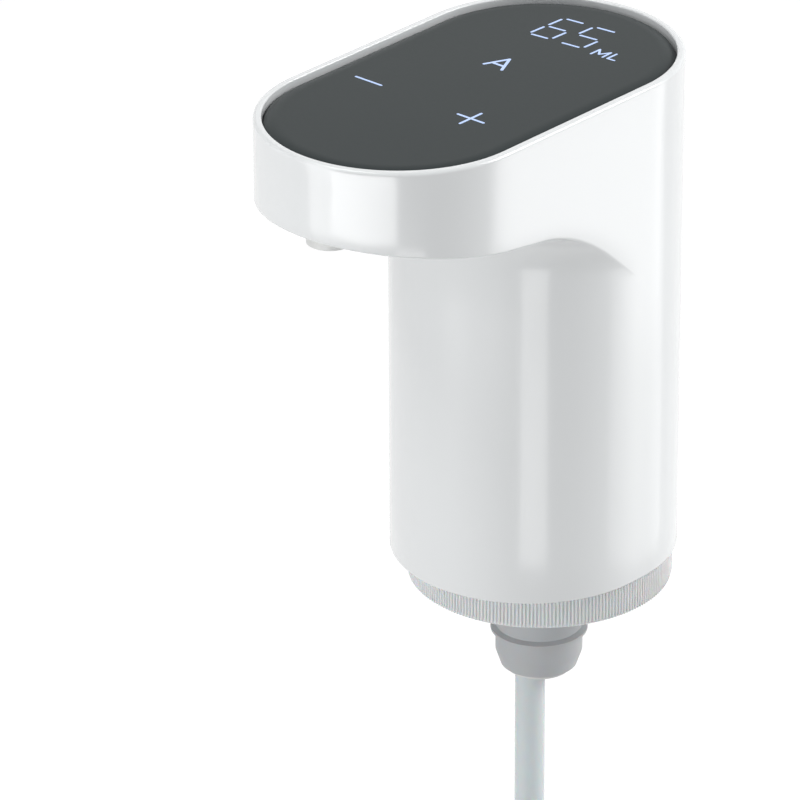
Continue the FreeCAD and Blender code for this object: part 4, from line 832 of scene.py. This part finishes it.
class DISPENSER_OT_collar(bpy.types.Operator):
    """Stand the fine ribs round the bayonet collar"""
    bl_idname = "dispenser.collar"
    bl_label = "Collar ribs"

    def execute(self, context):
        c = settings("collar")
        obj = mesh_object("collar_ribs", [], [])
        modifier = obj.modifiers.new("Ribs", "NODES")
        modifier.node_group = rib_tree()
        values = {"Ribs": c.ribs, "Root Radius": c.radius, "Rib Radius": c.rib, "Low": -c.low, "High": c.high,
                  "Finish": collar_finish()}
        for item in modifier.node_group.interface.items_tree:
            if item.in_out == "INPUT":
                modifier[item.identifier] = values[item.name]
        plain_mesh(obj)
        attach(obj, "collar")
        return {"FINISHED"}


# ---- parts that keep their solids -------------------------------------------------------------

def smoothing_tree():
    """Geometry nodes that weld a triangle soup and shade it smooth below an angle."""
    name = "Smooth turned parts"
    if name in bpy.data.node_groups:
        return bpy.data.node_groups[name]
    tree = bpy.data.node_groups.new(name, "GeometryNodeTree")
    tree.interface.new_socket("Geometry", in_out="INPUT", socket_type="NodeSocketGeometry")
    tree.interface.new_socket("Angle", in_out="INPUT", socket_type="NodeSocketFloat").default_value = 0.5
    tree.interface.new_socket("Geometry", in_out="OUTPUT", socket_type="NodeSocketGeometry")
    start = tree.nodes.new("NodeGroupInput")
    end = tree.nodes.new("NodeGroupOutput")
    weld = add(tree, "GeometryNodeMergeByDistance", [("Geometry", start.outputs["Geometry"]),
                                                     ("Distance", 2e-6)])
    faces = add(tree, "GeometryNodeSetShadeSmooth", [("Geometry", weld.outputs[0])])
    angle = add(tree, "GeometryNodeInputMeshEdgeAngle")
    flat = add(tree, "FunctionNodeCompare", [(0, angle.outputs["Unsigned Angle"]), (1, start.outputs["Angle"])],
               data_type="FLOAT", operation="LESS_THAN")
    edges = add(tree, "GeometryNodeSetShadeSmooth", [("Geometry", faces.outputs[0]),
                                                     ("Shade Smooth", flat.outputs[0])], domain="EDGE")
    tree.links.new(edges.outputs[0], end.inputs["Geometry"])
    return tree


class DISPENSER_OT_finishes(bpy.types.Operator):
    """Give every part that keeps its solid its finish and smooth shading"""
    bl_idname = "dispenser.finishes"
    bl_label = "Part finishes"

    def execute(self, context):
        slots = {p["node"]: p["material_slot"] for p in frame["record"]["subparts"]}
        for name, obj in frame["nodes"].items():
            material = slot_finish(slots[name])
            if not obj.data.materials:
                obj.data.materials.append(material)
            for slot in obj.material_slots:
                slot.material = material
            modifier = obj.modifiers.new("Smooth", "NODES")
            modifier.node_group = smoothing_tree()
        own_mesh(frame["nodes"]["solenoid_spring"])
        return {"FINISHED"}


# ---- stage ------------------------------------------------------------------------------------

def lamp(name, bearing, rise, reach, width, height, power):
    """Rectangular lamp seen from the object in a direction given in degrees; power in watts."""
    data = bpy.data.lights.new(name, "AREA")
    data.shape = "RECTANGLE"
    data.size, data.size_y, data.energy = width, height, power
    obj = bpy.data.objects.new(name, data)
    turn, lift = math.radians(bearing), math.radians(rise)
    way = Vector((math.cos(lift) * math.cos(turn), math.cos(lift) * math.sin(turn), math.sin(lift)))
    obj.location = Vector(LAMP_TARGET) + reach * way
    obj.rotation_euler = (-way).to_track_quat("-Z", "Y").to_euler()
    obj.visible_camera = False
    bpy.context.scene.collection.objects.link(obj)


class DISPENSER_OT_stage(bpy.types.Operator):
    """Set up the camera, the floor, the lamps and the surroundings"""
    bl_idname = "dispenser.stage"
    bl_label = "Stage"

    def execute(self, context):
        scene = context.scene
        s = settings("stage")
        camera = bpy.data.objects.new("Camera", bpy.data.cameras.new("Camera"))
        camera.data.sensor_width = 36
        camera.data.lens = CAMERA_LENS
        camera.data.clip_start, camera.data.clip_end = 0.05, 20
        right = Vector(CAMERA_RIGHT)
        back = right.cross(Vector(CAMERA_UP)).normalized()
        turn = Matrix((right, back.cross(right).normalized(), back)).transposed()
        camera.matrix_world = Matrix.Translation(CAMERA_PLACE) @ turn.to_4x4()
        scene.collection.objects.link(camera)
        scene.camera = camera
        scene.view_settings.view_transform = "Standard"

        z = CAD_BOX[0].z - s.floor_drop
        corners = [(x * FLOOR_REACH, y * FLOOR_REACH, z) for x, y in ((-1, -1), (1, -1), (1, 1), (-1, 1))]
        floor = mesh_object("floor", corners, [(0, 1, 2, 3)], floor_material())

        for share, group in ((s.windows, WINDOWS), (s.glows, GLOWS), (s.ceiling, CEILING)):
            for *place, power in group:
                lamp(*place, power * share)
        scene.world = surroundings()
        return {"FINISHED"}


def seen_rays(tree):
    """1 on rays that look: from the camera, in reflections and through clear parts."""
    rays = add(tree, "ShaderNodeLightPath").outputs
    looking = maths(tree, "MAXIMUM", rays["Is Camera Ray"], rays["Is Glossy Ray"])
    return maths(tree, "MAXIMUM", looking, rays["Is Transmission Ray"])


def floor_material():
    """Pale floor that looks like white paper and still takes the object's shadow."""
    material = bpy.data.materials.new("Pale floor")
    material.use_nodes = True
    tree = material.node_tree
    shader = tree.nodes["Principled BSDF"]
    place = add(tree, "ShaderNodeTexCoord").outputs["Object"]
    tone = remap(tree, noise(tree, place, 40.0, 3.0), (0.0, 1.0), (0.30, 0.33))
    shade = add(tree, "ShaderNodeCombineColor", [(0, tone), (1, tone), (2, tone)])
    tree.links.new(shade.outputs[0], shader.inputs["Base Color"])
    shader.inputs["Roughness"].default_value = 0.7
    shader.inputs["Specular IOR Level"].default_value = 0.2
    glow = maths(tree, "MULTIPLY", seen_rays(tree), settings("stage").paper)
    paper = add(tree, "ShaderNodeEmission", [("Color", (1, 1, 1, 1)), ("Strength", glow)])
    mix = add(tree, "ShaderNodeAddShader", [(0, shader.outputs[0]), (1, paper.outputs[0])])
    tree.links.new(mix.outputs[0], tree.nodes["Material Output"].inputs["Surface"])
    return material


def surroundings():
    """White to rays that look, a plain grey room to the light that falls on the object."""
    world = bpy.data.worlds.new("Surroundings")
    world.use_nodes = True
    tree = world.node_tree
    tree.nodes.clear()
    room = add(tree, "ShaderNodeBackground", [("Color", (0.96, 0.98, 1.0, 1)),
                                              ("Strength", settings("stage").room)])
    paper = add(tree, "ShaderNodeBackground", [("Color", (1, 1, 1, 1)), ("Strength", 1.0)])
    mix = add(tree, "ShaderNodeMixShader", [(0, seen_rays(tree)), (1, room.outputs[0]), (2, paper.outputs[0])])
    end = tree.nodes.new("ShaderNodeOutputWorld")
    tree.links.new(mix.outputs[0], end.inputs["Surface"])
    return world


# ---- add-on -----------------------------------------------------------------------------------

class DISPENSER_PT_panel(bpy.types.Panel):
    """Sizes, colours and steps of the dispenser"""
    bl_idname = "DISPENSER_PT_panel"
    bl_label = "Wine dispenser"
    bl_space_type = "VIEW_3D"
    bl_region_type = "UI"
    bl_category = "Dispenser"

    def draw(self, context):
        for name, group in SETTINGS.items():
            box = self.layout.box()
            box.label(text=name.capitalize())
            for prop in group.__annotations__:
                box.prop(settings(name), prop)
        for step in STEPS:
            self.layout.operator(step.bl_idname)


STEPS = (DISPENSER_OT_stage, DISPENSER_OT_shell, DISPENSER_OT_lens, DISPENSER_OT_signs, DISPENSER_OT_collar,
         DISPENSER_OT_finishes)
CLASSES = (*SETTINGS.values(), *STEPS, DISPENSER_PT_panel)


def register():
    """Register the classes and their settings."""
    for cls in CLASSES:
        bpy.utils.register_class(cls)
    for name, group in SETTINGS.items():
        setattr(bpy.types.Scene, "dispenser_" + name, PointerProperty(type=group))


def unregister():
    """Remove the settings and the classes."""
    for name in SETTINGS:
        delattr(bpy.types.Scene, "dispenser_" + name)
    for cls in reversed(CLASSES):
        bpy.utils.unregister_class(cls)


def main():
    """Build the dispenser."""
    register()
    bpy.ops.dispenser.stage()
    bpy.ops.dispenser.shell()
    bpy.ops.dispenser.lens()
    bpy.ops.dispenser.signs()
    bpy.ops.dispenser.collar()
    bpy.ops.dispenser.finishes()
    bpy.context.view_layer.update()


if __name__ == "__main__":
    main()
